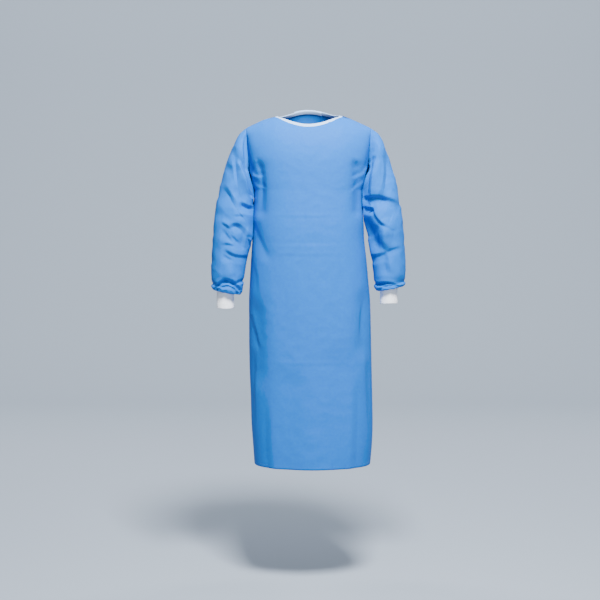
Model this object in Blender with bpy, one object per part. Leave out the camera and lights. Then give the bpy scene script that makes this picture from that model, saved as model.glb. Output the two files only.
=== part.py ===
"""A worn surgical gown of pressed non-woven cloth, as hollow solids.

Metres, +Z up, the gown's front towards -Y and the viewer's left towards -X.
The origin lies midway between the high points of the shoulders, at the base of the neck.
Every cloth piece is a grid of outer points, rows by columns, with its inner points one wall inside.
"""

import math

import bmesh
import bpy
from mathutils import Vector

# Cloth and seams
WALL = 0.0015
KNIT_WALL = 0.0020
SEAM_GAP = 0.0003
LAP_LIFT = 0.0045
RIB_HEIGHT = 0.0006
CUFF_CLEARANCE = 0.00025

# The cut
HEM_Z = -1.137
UNDERARM_Z = -0.235
SHOULDER_HALF = 0.203
CHEST_SHIFT = -0.0055
RING_POWER = 2.3
CHEST_POWER = 2.6

# The neck opening
NECK_HALF = 0.111
NECK_FRONT = 0.080
NECK_BACK = 0.074
NECK_SIDE_Z = 0.003
NAPE_RISE = 0.062

# The back wrap, where each half passes the middle
LAP_AT_NECK = 0.045
LAP_AT_HEM = 0.085
LAP_RAMP_START = 0.150
LAP_RAMP_END = 0.100

# Grid sizes
ARCH_ROWS = 13
ARCH_CROWDING = 1.5
SKIRT_ROWS = 17
SKIRT_CROWDING = 1.15
SHOULDER_COLUMNS = 4
NECK_COLUMNS = 6
SLEEVE_ROWS = 25
GATHER_ROWS = 5
GATHER_START = 0.90
HEAD_SHARE = 0.30
ARCH_EASE = 0.8
PLACES = 7
SHARP_ANGLE = 50

# Folds fade out where the cloth turns sideways
FOLD_FACING = 1.6

# Where a sleeve lies beside the body
BODY_CLEARANCE = 0.0032
CLEARANCE_DROP = 0.020

# The gathered sleeve ends and the cuffs
END_LEVELLING = 0.4
CUFF_WAISTING = 0.02

# The binding
BINDING_HEIGHT = 0.0100
BINDING_THICK = 0.0024
BINDING_SHOULDER = 0.0085
BINDING_CREST = 0.0010

# The waist tie that closes the back
TIE_Z = -0.440
TIE_WIDTH = 0.025
TIE_THICK = 0.0016
TIE_CLEARANCE = 0.0006
TIE_END = 0.115
TIE_STEP_START = -0.090
TIE_STEP_END = -0.072
TIE_COLUMNS = 6
TIE_CORE = 0.0100
TIE_BAND_ROWS = 3
TAIL_LENGTH = 0.230
TAIL_ROWS = 8
TAIL_SPREAD = 0.014
TAIL_INNER = 0.003
KNOT_HALF = 0.020
KNOT_RISE = 0.0155
KNOT_THICK = 0.0070

# Colours and finish, linear
CLOTH_COLOUR = (0.155, 0.390, 0.760, 1.0)
KNIT_COLOUR = (0.690, 0.720, 0.780, 1.0)
BINDING_COLOUR = (0.600, 0.660, 0.780, 1.0)
CLOTH_ROUGHNESS = 0.75
KNIT_ROUGHNESS = 0.90
BINDING_ROUGHNESS = 0.70

# Columns: height, middle, half width, depth of the front, depth of the back
BODY_LEVELS = (
    (-1.137, 0.0080, 0.1925, 0.150, 0.152),
    (-1.063, 0.0084, 0.1982, 0.149, 0.153),
    (-1.000, 0.0070, 0.2010, 0.147, 0.153),
    (-0.900, 0.0050, 0.2010, 0.145, 0.152),
    (-0.800, 0.0022, 0.2005, 0.142, 0.150),
    (-0.700, 0.0004, 0.2003, 0.140, 0.146),
    (-0.600, -0.0015, 0.1998, 0.138, 0.138),
    (-0.530, -0.0030, 0.1950, 0.136, 0.130),
    (-0.464, -0.0042, 0.1900, 0.134, 0.122),
    (-0.400, -0.0058, 0.1842, 0.133, 0.117),
    (-0.346, -0.0060, 0.1820, 0.131, 0.115),
    (-0.300, -0.0062, 0.1790, 0.128, 0.114),
    (-0.235, -0.0055, 0.1775, 0.122, 0.112),
)

# Columns: height as a share of the armhole's, half width of the armhole, half width the chest rounds to
ARMHOLE = (
    (0.00, 0.1775, 0.1775),
    (0.09, 0.1800, 0.1840),
    (0.30, 0.1855, 0.1970),
    (0.62, 0.1970, 0.2120),
    (0.86, 0.2020, 0.2200),
    (1.00, 0.2030, 0.2250),
)

# Columns: half width, height of the shoulder line
SHOULDER_LINE = (
    (0.1110, 0.0030),
    (0.1445, -0.0060),
    (0.1735, -0.0190),
    (0.2030, -0.0325),
)

# Columns: place along the sleeve, outer side x and z, inner side x and z, y of the middle, half depth
# All x here are distances from the middle of the gown.
SLEEVE_LEFT = (
    (0.000, 0.2085, -0.0325, 0.1830, -0.2350, 0.003, 0.052),
    (0.060, 0.2320, -0.0550, 0.1820, -0.2470, -0.001, 0.062),
    (0.130, 0.2500, -0.0900, 0.1810, -0.2640, -0.002, 0.067),
    (0.220, 0.2685, -0.1300, 0.1840, -0.2870, -0.003, 0.069),
    (0.320, 0.2815, -0.1750, 0.1820, -0.3150, -0.008, 0.070),
    (0.420, 0.2945, -0.2220, 0.1820, -0.3420, -0.013, 0.070),
    (0.520, 0.3045, -0.2700, 0.1840, -0.3720, -0.018, 0.069),
    (0.620, 0.3120, -0.3200, 0.1900, -0.4030, -0.022, 0.068),
    (0.710, 0.3175, -0.3750, 0.2000, -0.4350, -0.025, 0.065),
    (0.790, 0.3210, -0.4300, 0.2085, -0.4730, -0.028, 0.062),
    (0.860, 0.3230, -0.4820, 0.2140, -0.5080, -0.031, 0.059),
    (0.920, 0.3235, -0.5240, 0.2190, -0.5420, -0.033, 0.057),
    (0.965, 0.3230, -0.5460, 0.2215, -0.5640, -0.034, 0.054),
    (1.000, 0.3200, -0.5560, 0.2260, -0.5740, -0.035, 0.050),
)
SLEEVE_RIGHT = (
    (0.000, 0.1975, -0.0325, 0.1720, -0.2350, 0.003, 0.052),
    (0.060, 0.2250, -0.0550, 0.1660, -0.2470, -0.001, 0.062),
    (0.130, 0.2430, -0.0900, 0.1650, -0.2640, -0.003, 0.067),
    (0.220, 0.2580, -0.1300, 0.1660, -0.2870, -0.005, 0.069),
    (0.320, 0.2730, -0.1750, 0.1710, -0.3150, -0.009, 0.070),
    (0.420, 0.2845, -0.2220, 0.1780, -0.3420, -0.013, 0.070),
    (0.520, 0.2925, -0.2700, 0.1860, -0.3720, -0.016, 0.069),
    (0.620, 0.3010, -0.3200, 0.1910, -0.4030, -0.020, 0.068),
    (0.710, 0.3070, -0.3750, 0.1960, -0.4350, -0.024, 0.065),
    (0.790, 0.3095, -0.4300, 0.2030, -0.4700, -0.027, 0.062),
    (0.860, 0.3125, -0.4730, 0.2070, -0.5010, -0.030, 0.059),
    (0.920, 0.3115, -0.5130, 0.2095, -0.5330, -0.033, 0.057),
    (0.965, 0.3110, -0.5350, 0.2110, -0.5520, -0.034, 0.054),
    (1.000, 0.3080, -0.5450, 0.2150, -0.5620, -0.035, 0.050),
)

# Columns: middle x and y, z of the upper and lower end, half width, half depth
CUFF_LEFT = (-0.2776, -0.036, -0.5500, -0.6200, 0.0284, 0.0330)
CUFF_RIGHT = (0.2575, -0.036, -0.5420, -0.6040, 0.0282, 0.0330)
CUFF_RIBS = 30
CUFF_ROWS = 3

# Columns: share of the way in to the cuff, drop below the ring before
TURN_UNDER = (
    (0.40, -0.0035),
    (1.00, -0.0010),
)

# Columns: x and z where the fold starts, x and z where it ends, width, depth inwards (below 0 outwards)
FRONT_FOLDS = (
    (-0.218, -0.070, -0.206, -0.165, 0.018, 0.0080),
    (-0.262, -0.170, -0.220, -0.250, 0.021, 0.0085),
    (-0.255, -0.112, -0.230, -0.170, 0.019, 0.0050),
    (-0.285, -0.215, -0.265, -0.300, 0.023, 0.0045),
    (-0.245, -0.245, -0.210, -0.285, 0.020, 0.0085),
    (-0.282, -0.320, -0.228, -0.350, 0.019, 0.0065),
    (-0.272, -0.370, -0.215, -0.410, 0.019, 0.0070),
    (-0.284, -0.425, -0.262, -0.470, 0.020, 0.0045),
    (-0.308, -0.540, -0.278, -0.531, 0.014, 0.0045),
    (-0.278, -0.531, -0.236, -0.545, 0.014, 0.0045),
    (0.212, -0.070, 0.196, -0.158, 0.018, 0.0080),
    (0.236, -0.138, 0.254, -0.235, 0.023, 0.0075),
    (0.192, -0.275, 0.235, -0.270, 0.024, 0.0085),
    (0.235, -0.270, 0.284, -0.300, 0.021, 0.0060),
    (0.204, -0.318, 0.216, -0.342, 0.018, -0.0055),
    (0.216, -0.342, 0.245, -0.366, 0.018, -0.0055),
    (0.210, -0.410, 0.250, -0.434, 0.018, 0.0060),
    (0.238, -0.440, 0.243, -0.490, 0.019, 0.0045),
    (0.222, -0.538, 0.296, -0.530, 0.014, 0.0045),
    (-0.166, -0.170, -0.161, -0.300, 0.021, 0.0075),
    (0.152, -0.165, 0.156, -0.300, 0.021, 0.0075),
    (-0.180, -0.360, -0.140, -0.440, 0.023, 0.0045),
    (-0.174, -0.560, -0.175, -0.900, 0.026, 0.0080),
    (0.173, -0.540, 0.176, -0.800, 0.026, 0.0075),
    (-0.060, -0.780, -0.070, -1.137, 0.045, 0.0060),
    (0.085, -0.700, 0.100, -1.137, 0.050, 0.0060),
)
BACK_FOLDS = (
    (-0.225, -0.070, -0.208, -0.170, 0.019, 0.0070),
    (-0.270, -0.180, -0.225, -0.255, 0.021, 0.0070),
    (-0.275, -0.250, -0.215, -0.290, 0.021, 0.0085),
    (-0.290, -0.300, -0.225, -0.335, 0.020, 0.0060),
    (-0.290, -0.400, -0.235, -0.440, 0.020, 0.0055),
    (-0.300, -0.538, -0.238, -0.543, 0.014, 0.0060),
    (0.218, -0.070, 0.202, -0.165, 0.019, 0.0070),
    (0.262, -0.170, 0.222, -0.250, 0.021, 0.0070),
    (0.272, -0.255, 0.205, -0.285, 0.021, 0.0085),
    (0.280, -0.310, 0.218, -0.345, 0.020, 0.0060),
    (0.285, -0.410, 0.228, -0.430, 0.020, 0.0055),
    (0.292, -0.530, 0.225, -0.538, 0.014, 0.0060),
    (-0.155, -0.150, -0.152, -0.370, 0.023, 0.0080),
    (0.150, -0.150, 0.146, -0.370, 0.023, 0.0080),
    (-0.130, -0.520, -0.150, -0.900, 0.032, 0.0080),
    (0.134, -0.520, 0.150, -0.850, 0.032, 0.0080),
)


def read_table(rows, at):
    """The row of a table at a place between its rows, on a smooth curve."""
    keys = [row[0] for row in rows]
    at = min(max(at, keys[0]), keys[-1])
    low = max(i for i in range(len(keys) - 1) if keys[i] <= at)
    span = keys[low + 1] - keys[low]
    share = (at - keys[low]) / span
    result = []
    for column in range(1, len(rows[0])):
        def slope(i, column=column):
            before = max(i - 1, 0)
            after = min(i + 1, len(rows) - 1)
            return (rows[after][column] - rows[before][column]) / (keys[after] - keys[before])
        start = rows[low][column]
        end = rows[low + 1][column]
        square = share * share
        cube = square * share
        result.append(
            (2 * cube - 3 * square + 1) * start
            + (cube - 2 * square + share) * span * slope(low)
            + (3 * square - 2 * cube) * end
            + (cube - square) * span * slope(low + 1)
        )
    return result


def smooth(share):
    """From 0 to 1 with a soft start and end."""
    share = min(max(share, 0.0), 1.0)
    return share * share * (3 - 2 * share)


def signed_power(value, power):
    return math.copysign(abs(value) ** power, value)


# The body, from the hem to the shoulder line

def ring_point(angle, height):
    """A point of the body below the underarm: angle 0 is the middle of the front, 180 of the back."""
    middle, half, front, back = read_table(BODY_LEVELS, height)
    across = signed_power(math.sin(angle), 2 / RING_POWER)
    along = signed_power(math.cos(angle), 2 / RING_POWER)
    depth = front if along > 0 else back
    return Vector((middle + half * across, -depth * along, height))


def top_height(offset, behind):
    """Height of the shoulder line, which rises to the nape behind the neck."""
    offset = abs(offset)
    if offset > NECK_HALF:
        return read_table(SHOULDER_LINE, offset)[0]
    if not behind:
        return NECK_SIDE_Z
    return NECK_SIDE_Z + NAPE_RISE * (1 - (offset / NECK_HALF) ** 2) ** 2


def chest_depth(offset, reach, behind):
    _, _, front, back = read_table(BODY_LEVELS, UNDERARM_Z)
    depth = back if behind else front
    inside = max(1 - (abs(offset) / reach) ** RING_POWER, 0.0)
    return depth * inside ** (1 / RING_POWER)


def neck_angle(offset, behind):
    """How far up its arch a column reaches: to the shoulder line, or to the neck edge."""
    if abs(offset) >= NECK_HALF:
        return math.pi / 2
    radius = NECK_BACK if behind else NECK_FRONT
    edge = radius * math.sqrt(1 - (offset / NECK_HALF) ** 2)
    reach = ARMHOLE[-1][2]
    share = edge / chest_depth(offset, reach, behind)
    return math.acos(share ** (CHEST_POWER / 2))


def arch_point(ring_share, top_offset, step, behind):
    """A point above the underarm. step runs from 0 there to 1 at the shoulder line or neck edge."""
    power = 2 / CHEST_POWER
    height_share = math.sin(step * math.pi / 2) ** power
    half, reach = read_table(ARMHOLE, height_share)
    share = ring_share + (top_offset / SHOULDER_HALF - ring_share) * smooth(step ** ARCH_EASE)
    offset = share * half
    lift = math.sin(step * neck_angle(top_offset, behind)) ** power
    shrink = math.cos(step * neck_angle(top_offset, behind)) ** power
    depth = chest_depth(offset, reach, behind) * shrink
    height = UNDERARM_Z + (top_height(offset, behind) - UNDERARM_Z) * lift
    return Vector((CHEST_SHIFT + offset, depth if behind else -depth, height))


def skirt_heights():
    """Row heights from the hem up to just below the underarm, closer together near the underarm."""
    length = UNDERARM_Z - HEM_Z
    return [UNDERARM_Z - length * ((SKIRT_ROWS - i) / SKIRT_ROWS) ** SKIRT_CROWDING for i in range(SKIRT_ROWS)]


def arch_steps():
    return [(i / ARCH_ROWS) ** ARCH_CROWDING for i in range(ARCH_ROWS + 1)]


def panel_grid(columns, behind):
    """Rows of outer points from the hem up. Each column gives its ring angle and its place at the top."""
    rows = []
    for height in skirt_heights():
        rows.append([ring_point(angle(height), height) for angle, _ in columns])
    for step in arch_steps():
        row = []
        for angle, top_offset in columns:
            share = signed_power(math.sin(angle(UNDERARM_Z)), 2 / RING_POWER)
            row.append(arch_point(share, top_offset, step, behind))
        rows.append(row)
    return rows


def half_offsets():
    """Places along the top edge, from the middle of the neck to the armhole."""
    neck = [NECK_HALF * math.sin(math.pi / 2 * i / NECK_COLUMNS) for i in range(NECK_COLUMNS)]
    span = SHOULDER_HALF - NECK_HALF
    shoulder = [NECK_HALF + span * i / SHOULDER_COLUMNS for i in range(SHOULDER_COLUMNS + 1)]
    return neck + shoulder


def front_grid():
    half = half_offsets()
    offsets = [-x for x in reversed(half[1:])] + half
    count = len(offsets) - 1
    columns = []
    for i, offset in enumerate(offsets):
        turn = math.radians(-90 + 180 * i / count)
        columns.append((lambda height, turn=turn: turn, offset))
    return panel_grid(columns, False)


def lap_reach(height):
    """How far past the middle a back half goes."""
    share = (height - HEM_Z) / (NECK_SIDE_Z - HEM_Z)
    return LAP_AT_HEM + (LAP_AT_NECK - LAP_AT_HEM) * share


def back_grid(side):
    """A back half. side is 1 on the viewer's right, -1 on the left; both cross the middle."""
    half = half_offsets()
    past = [-half[1], -LAP_AT_NECK]
    offsets = list(reversed(half)) + past
    count = len(offsets) - 1
    columns = []
    for i, offset in enumerate(offsets):
        def angle(height, i=i):
            half_width = read_table(BODY_LEVELS, height)[1]
            past_middle = math.asin((lap_reach(height) / half_width) ** (RING_POWER / 2))
            return side * (math.pi / 2 + (math.pi / 2 + past_middle) * i / count)
        columns.append((angle, side * offset))
    if side < 0:
        columns.reverse()
    return panel_grid(columns, True)


def lap_lift(point):
    """How far the over half stands out where it lies on the under half."""
    return LAP_LIFT * smooth((LAP_RAMP_START - point.x) / (LAP_RAMP_START - LAP_RAMP_END))


# The sleeves

def armhole_loop(side, front_edge, back_edge):
    """The armhole from the underarm round over the shoulder, so that the sleeve's faces point out."""
    first, second = (back_edge, front_edge) if side > 0 else (front_edge, back_edge)
    return first + list(reversed(second[1:-1]))


def sleeve_frame(side, table, share):
    """Middle, half axis from the inner to the outer side, half depth and running direction of a ring."""
    outer_x, outer_z, inner_x, inner_z, middle_y, depth = read_table(table, share)
    outer = Vector((side * outer_x, middle_y, outer_z))
    inner = Vector((side * inner_x, middle_y, inner_z))
    axis = (outer - inner) / 2
    run = axis.cross(Vector((0, side, 0))).normalized()
    return (outer + inner) / 2, axis, depth, run


def ring_turn(i, count):
    """Angle round a sleeve: 180 degrees at the underarm, 0 at the outer side."""
    return math.pi - 2 * math.pi * i / count


def sleeve_shares():
    """Places along the sleeve, closer together at the gathered end."""
    spacing = GATHER_START / (SLEEVE_ROWS - GATHER_ROWS)
    even = [spacing * i for i in range(1, SLEEVE_ROWS - GATHER_ROWS + 1)]
    return even + [GATHER_START + (1 - GATHER_START) * i / GATHER_ROWS for i in range(1, GATHER_ROWS + 1)]


def beside_body(point, side):
    """A sleeve's point, moved out to where the cloth lies just clear of the body's side."""
    if point.z >= UNDERARM_Z:
        return point
    middle, half, front, back = read_table(BODY_LEVELS, point.z)
    share = min(abs(point.y) / (back if point.y > 0 else front), 1.0)
    reach = half * (1 - share ** RING_POWER) ** (1 / RING_POWER)
    reach += BODY_CLEARANCE * smooth((UNDERARM_Z - point.z) / CLEARANCE_DROP)
    return Vector((middle + side * max(side * (point.x - middle), reach), point.y, point.z))


def sleeve_grid(side, table, loop, cuff):
    """Rings from the armhole to the wrist, which turn from the armhole's shape to ovals."""
    count = len(loop)
    middle, axis, depth, run = sleeve_frame(side, table, 0.0)
    flats = [(p - middle).dot(axis) / axis.length_squared for p in loop]
    deeps = [(p - middle).y / depth for p in loop]
    prouds = [(p - middle).dot(run) for p in loop]
    grid = [[p.copy() for p in loop]]
    for share in sleeve_shares():
        middle, axis, depth, run = sleeve_frame(side, table, share)
        blend = smooth(share / HEAD_SHARE)
        row = []
        for i in range(count):
            turn = ring_turn(i, count)
            flat = flats[i] + (math.cos(turn) - flats[i]) * blend
            deep = deeps[i] + (side * math.sin(turn) - deeps[i]) * blend
            proud = prouds[i] * (1 - blend)
            at = middle + axis * flat + Vector((0, depth * deep, 0)) + run * proud
            row.append(beside_body(at, side))
        grid.append(row)
    return grid + turned_under(side, grid[-1], cuff)


def turned_under(side, last, cuff):
    """The sleeve end blouses down, then turns in to just outside the cuff."""
    middle_x, middle_y, _, _, half_width, half_depth = cuff
    reach = RIB_HEIGHT + CUFF_CLEARANCE
    mean_z = sum(p.z for p in last) / len(last)
    rows = []
    for share, drop in TURN_UNDER:
        row = []
        for i, point in enumerate(last):
            turn = ring_turn(i, len(last))
            goal = Vector((
                middle_x + side * (half_width + reach) * math.cos(turn),
                middle_y + side * (half_depth + reach) * math.sin(turn),
                point.z + (mean_z - point.z) * END_LEVELLING,
            ))
            at = point.lerp(goal, share)
            at.z += drop
            row.append(at)
        rows.append(row)
    return rows


# Folds

def fold_depth(point, normal):
    """How far the cloth is drawn in, by the folds on the side that the point faces."""
    folds = FRONT_FOLDS if normal.y < 0 else BACK_FOLDS
    total = 0.0
    for start_x, start_z, end_x, end_z, width, depth in folds:
        run_x = end_x - start_x
        run_z = end_z - start_z
        length = run_x * run_x + run_z * run_z
        share = ((point.x - start_x) * run_x + (point.z - start_z) * run_z) / length
        share = min(max(share, 0.0), 1.0)
        away_x = point.x - start_x - share * run_x
        away_z = point.z - start_z - share * run_z
        total += depth * math.exp(-(away_x * away_x + away_z * away_z) / (width * width))
    return total * smooth(abs(normal.y) * FOLD_FACING)


# Solids

def joined_normals(grids):
    """One normal for each point of the whole garment, shared by the pieces that meet there."""
    mesh = bmesh.new()
    found = {}

    def vert(point):
        key = point.to_tuple(PLACES)
        if key not in found:
            found[key] = mesh.verts.new(point)
        return found[key]

    for rows, closed in grids:
        wrap = len(rows[0]) if closed else len(rows[0]) - 1
        for i in range(len(rows) - 1):
            for j in range(wrap):
                k = (j + 1) % len(rows[0])
                corners = [vert(rows[i][j]), vert(rows[i][k]), vert(rows[i + 1][k]), vert(rows[i + 1][j])]
                if len(set(corners)) == 4 and not mesh.faces.get(corners):
                    mesh.faces.new(corners)
    mesh.normal_update()
    normals = {key: found_vert.normal.copy() for key, found_vert in found.items()}
    mesh.free()
    return normals


def edge_pull(rows, normals, i, j, closed):
    """The move that opens half a seam's gap at a grid's edge, along the cloth and away from the edge."""
    last_row = len(rows) - 1
    last_column = len(rows[0]) - 1
    normal = normals[rows[i][j].to_tuple(PLACES)]
    pull = Vector()
    if i in (0, last_row):
        right = rows[i][(j + 1) % len(rows[0])] if closed else rows[i][min(j + 1, last_column)]
        left = rows[i][j - 1] if closed else rows[i][max(j - 1, 0)]
        inward = normal.cross(right - left).normalized()
        pull += inward if i == 0 else -inward
    if not closed and j in (0, last_column):
        up = rows[min(i + 1, last_row)][j] - rows[max(i - 1, 0)][j]
        inward = up.cross(normal).normalized()
        pull += inward if j == 0 else -inward
    return pull * SEAM_GAP / 2


def cloth_solid(name, rows, normals, material, closed=False, wall=WALL):
    """A closed wall on a grid: its outer points, its inner points and its edges."""
    height = len(rows)
    width = len(rows[0])
    mesh = bmesh.new()
    outer = []
    inner = []
    for i in range(height):
        outer_row = []
        inner_row = []
        for j in range(width):
            point = rows[i][j] + edge_pull(rows, normals, i, j, closed)
            outer_row.append(mesh.verts.new(point))
            inner_row.append(mesh.verts.new(point - normals[rows[i][j].to_tuple(PLACES)] * wall))
        outer.append(outer_row)
        inner.append(inner_row)

    def quad(a, b, c, d):
        mesh.faces.new((a, b, c))
        mesh.faces.new((a, c, d))

    wrap = width if closed else width - 1
    for i in range(height - 1):
        for j in range(wrap):
            k = (j + 1) % width
            quad(outer[i][j], outer[i][k], outer[i + 1][k], outer[i + 1][j])
            mesh.faces.new((inner[i][j], inner[i + 1][k], inner[i][k]))
            mesh.faces.new((inner[i][j], inner[i + 1][j], inner[i + 1][k]))
    for j in range(wrap):
        k = (j + 1) % width
        quad(inner[0][j], inner[0][k], outer[0][k], outer[0][j])
        quad(outer[-1][j], outer[-1][k], inner[-1][k], inner[-1][j])
    if not closed:
        for i in range(height - 1):
            quad(outer[i][0], outer[i + 1][0], inner[i + 1][0], inner[i][0])
            quad(inner[i][-1], inner[i + 1][-1], outer[i + 1][-1], outer[i][-1])
    return add_object(name, mesh, material)


def neck_path(grids, normals):
    """The neck edge from the end of the left back half, round the front, to the end of the right one."""
    left = grids["back_panel_left"][0][-1][:-SHOULDER_COLUMNS]
    front = grids["front_panel"][0][-1][SHOULDER_COLUMNS:-SHOULDER_COLUMNS]
    right = grids["back_panel_right"][0][-1][SHOULDER_COLUMNS:]
    points = left + front[1:] + right[1:]
    return [(p, normals[p.to_tuple(PLACES)]) for p in points]


def binding_solid(name, path, material):
    """A folded strip that carries the cloth on past the neck edge, rounded along its upper fold."""
    mesh = bmesh.new()
    rings = []
    half = BINDING_THICK / 2
    section = (
        (0.0, -half),
        (BINDING_SHOULDER, -half),
        (BINDING_HEIGHT, -BINDING_CREST / 2),
        (BINDING_HEIGHT, BINDING_CREST / 2),
        (BINDING_SHOULDER, half),
        (0.0, half),
    )
    for i, (point, normal) in enumerate(path):
        along = path[min(i + 1, len(path) - 1)][0] - path[max(i - 1, 0)][0]
        up = normal.cross(along).normalized()
        base = point - normal * WALL / 2 + up * SEAM_GAP / 2
        rings.append([mesh.verts.new(base + up * rise + normal * out) for rise, out in section])
    count = len(section)
    for ring, following in zip(rings, rings[1:]):
        for k in range(count):
            nxt = (k + 1) % count
            mesh.faces.new((ring[k], ring[nxt], following[nxt]))
            mesh.faces.new((ring[k], following[nxt], following[k]))
    mesh.faces.new(list(reversed(rings[0])))
    mesh.faces.new(rings[-1])
    return add_object(name, mesh, material)


def add_object(name, mesh, material):
    data = bpy.data.meshes.new(name)
    mesh.to_mesh(data)
    mesh.free()
    data.materials.append(material)
    data.shade_smooth()
    data.set_sharp_from_angle(angle=math.radians(SHARP_ANGLE))
    piece = bpy.data.objects.new(name, data)
    bpy.context.scene.collection.objects.link(piece)
    return piece


def new_material(name, colour, roughness):
    material = bpy.data.materials.new(name)
    material.use_nodes = True
    shader = material.node_tree.nodes["Principled BSDF"]
    shader.inputs["Base Color"].default_value = colour
    shader.inputs["Roughness"].default_value = roughness
    shader.inputs["Metallic"].default_value = 0.0
    return material


def cuff_solid(name, cuff, material):
    """A knit tube with raised ribs over a plain inside."""
    middle_x, middle_y, top, bottom, half_width, half_depth = cuff
    around = CUFF_RIBS * 2
    mesh = bmesh.new()
    outer = []
    inner = []
    for i in range(CUFF_ROWS + 1):
        share = i / CUFF_ROWS
        z = bottom + (top - bottom) * share
        slack = 1.0 - CUFF_WAISTING * math.sin(math.pi * share)
        outer_row = []
        inner_row = []
        for j in range(around):
            turn = 2 * math.pi * j / around
            rib = RIB_HEIGHT if j % 2 else 0.0
            across = Vector((math.cos(turn), math.sin(turn), 0))
            reach = Vector((across.x * (half_width * slack + rib), across.y * (half_depth * slack + rib), 0))
            inside = Vector((
                across.x * (half_width * slack - KNIT_WALL),
                across.y * (half_depth * slack - KNIT_WALL),
                0,
            ))
            outer_row.append(mesh.verts.new(Vector((middle_x, middle_y, z)) + reach))
            inner_row.append(mesh.verts.new(Vector((middle_x, middle_y, z)) + inside))
        outer.append(outer_row)
        inner.append(inner_row)
    for j in range(around):
        k = (j + 1) % around
        for i in range(CUFF_ROWS):
            mesh.faces.new((outer[i][j], outer[i][k], outer[i + 1][k], outer[i + 1][j]))
            mesh.faces.new((inner[i][k], inner[i][j], inner[i + 1][j], inner[i + 1][k]))
        mesh.faces.new((outer[0][k], outer[0][j], inner[0][j], inner[0][k]))
        mesh.faces.new((outer[-1][j], outer[-1][k], inner[-1][k], inner[-1][j]))
    return add_object(name, mesh, material)


# The waist tie

def waist_point(x, z):
    """A point of the back before it is lapped, and the way out from it."""
    middle, half, _, back = read_table(BODY_LEVELS, z)
    share = (x - middle) / half
    y = back * (1 - abs(share) ** RING_POWER) ** (1 / RING_POWER)
    slope = RING_POWER - 1
    normal = Vector((signed_power(share, slope) / half, (y / back) ** slope / back, 0)).normalized()
    return Vector((x, y, z)), normal


def tie_stand(x):
    """How far the tie's inner face stands off the unlapped back: it steps up over the lap's edge."""
    step = smooth((x - TIE_STEP_START) / (TIE_STEP_END - TIE_STEP_START))
    return TIE_CLEARANCE + min(step * LAP_LIFT, lap_lift(Vector((x, 0, 0))))


def knot_bulge(x, z):
    """Extra thickness of the knot, round in both directions."""
    across = max(1 - (x / KNOT_HALF) ** 2, 0.0)
    up = max(1 - ((z - TIE_Z) / KNOT_RISE) ** 2, 0.0)
    return KNOT_THICK * math.sqrt(across * up)


def tie_solid(name, material):
    """One strip across the back, knotted in the middle, with two ends that hang from the knot."""
    half = TIE_WIDTH / 2
    tail = [TAIL_INNER, TAIL_INNER + half, TAIL_INNER + TIE_WIDTH]
    step = (TIE_END - tail[-1]) / TIE_COLUMNS
    right = tail + [tail[-1] + step * (i + 1) for i in range(TIE_COLUMNS)]
    across = [-x for x in reversed(right)] + right
    down = [half, TIE_CORE / 2, -TIE_CORE / 2, -half]
    down += [-half - TAIL_LENGTH * (i + 1) / TAIL_ROWS for i in range(TAIL_ROWS)]
    middle = len(across) // 2 - 1
    cells = set()
    for i in range(len(down) - 1):
        for j in range(len(across) - 1):
            in_tail = middle - 2 <= j <= middle + 2 and j != middle
            if i < TIE_BAND_ROWS or in_tail:
                cells.add((i, j))
    mesh = bmesh.new()
    found = {}

    def vert(i, j, layer):
        if (i, j, layer) not in found:
            z = TIE_Z + down[i]
            fall = max(-half - down[i], 0.0) / TAIL_LENGTH
            x = across[j] + math.copysign(TAIL_SPREAD * fall, across[j])
            base, normal = waist_point(x, z)
            out = tie_stand(x) + layer * (TIE_THICK + knot_bulge(across[j], z))
            found[i, j, layer] = mesh.verts.new(base + normal * out)
        return found[i, j, layer]

    for i, j in cells:
        corners = ((i, j), (i, j + 1), (i + 1, j + 1), (i + 1, j))
        for layer in (0, 1):
            a, b, c, d = [vert(row, column, layer) for row, column in corners]
            order = (a, b, c, d) if layer else (d, c, b, a)
            mesh.faces.new((order[0], order[1], order[2]))
            mesh.faces.new((order[0], order[2], order[3]))
        sides = (((i - 1, j), 0, 1), ((i, j + 1), 1, 2), ((i + 1, j), 2, 3), ((i, j - 1), 3, 0))
        for neighbour, start, end in sides:
            if neighbour not in cells:
                p = corners[start]
                q = corners[end]
                mesh.faces.new((vert(*p, 0), vert(*q, 0), vert(*q, 1), vert(*p, 1)))
    return add_object(name, mesh, material)


# Build

def sewn_grids():
    """The five cloth pieces as grids that share their points at the seams."""
    front = front_grid()
    right = back_grid(1)
    left = back_grid(-1)
    for i in range(SKIRT_ROWS + 1):
        right[i][0] = front[i][-1].copy()
        left[i][-1] = front[i][0].copy()
    for j in range(SHOULDER_COLUMNS + 1):
        right[-1][j] = front[-1][-1 - j].copy()
        left[-1][-1 - j] = front[-1][j].copy()
    above = range(SKIRT_ROWS, len(front))
    left_loop = armhole_loop(-1, [front[i][0] for i in above], [left[i][-1] for i in above])
    right_loop = armhole_loop(1, [front[i][-1] for i in above], [right[i][0] for i in above])
    return {
        "front_panel": (front, False),
        "back_panel_left": (left, False),
        "back_panel_right": (right, False),
        "sleeve_left": (sleeve_grid(-1, SLEEVE_LEFT, left_loop, CUFF_LEFT), True),
        "sleeve_right": (sleeve_grid(1, SLEEVE_RIGHT, right_loop, CUFF_RIGHT), True),
    }


def worn_shape(grids):
    """Draw the folds in, and carry the over half of the back outwards, along the cloth's own normals."""
    normals = joined_normals(grids.values())
    for name, (rows, _) in grids.items():
        for row in rows:
            for point in row:
                normal = normals[point.to_tuple(PLACES)]
                move = -fold_depth(point, normal)
                if name == "back_panel_right":
                    move += lap_lift(point)
                point += normal * move
    return joined_normals(grids.values())


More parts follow.
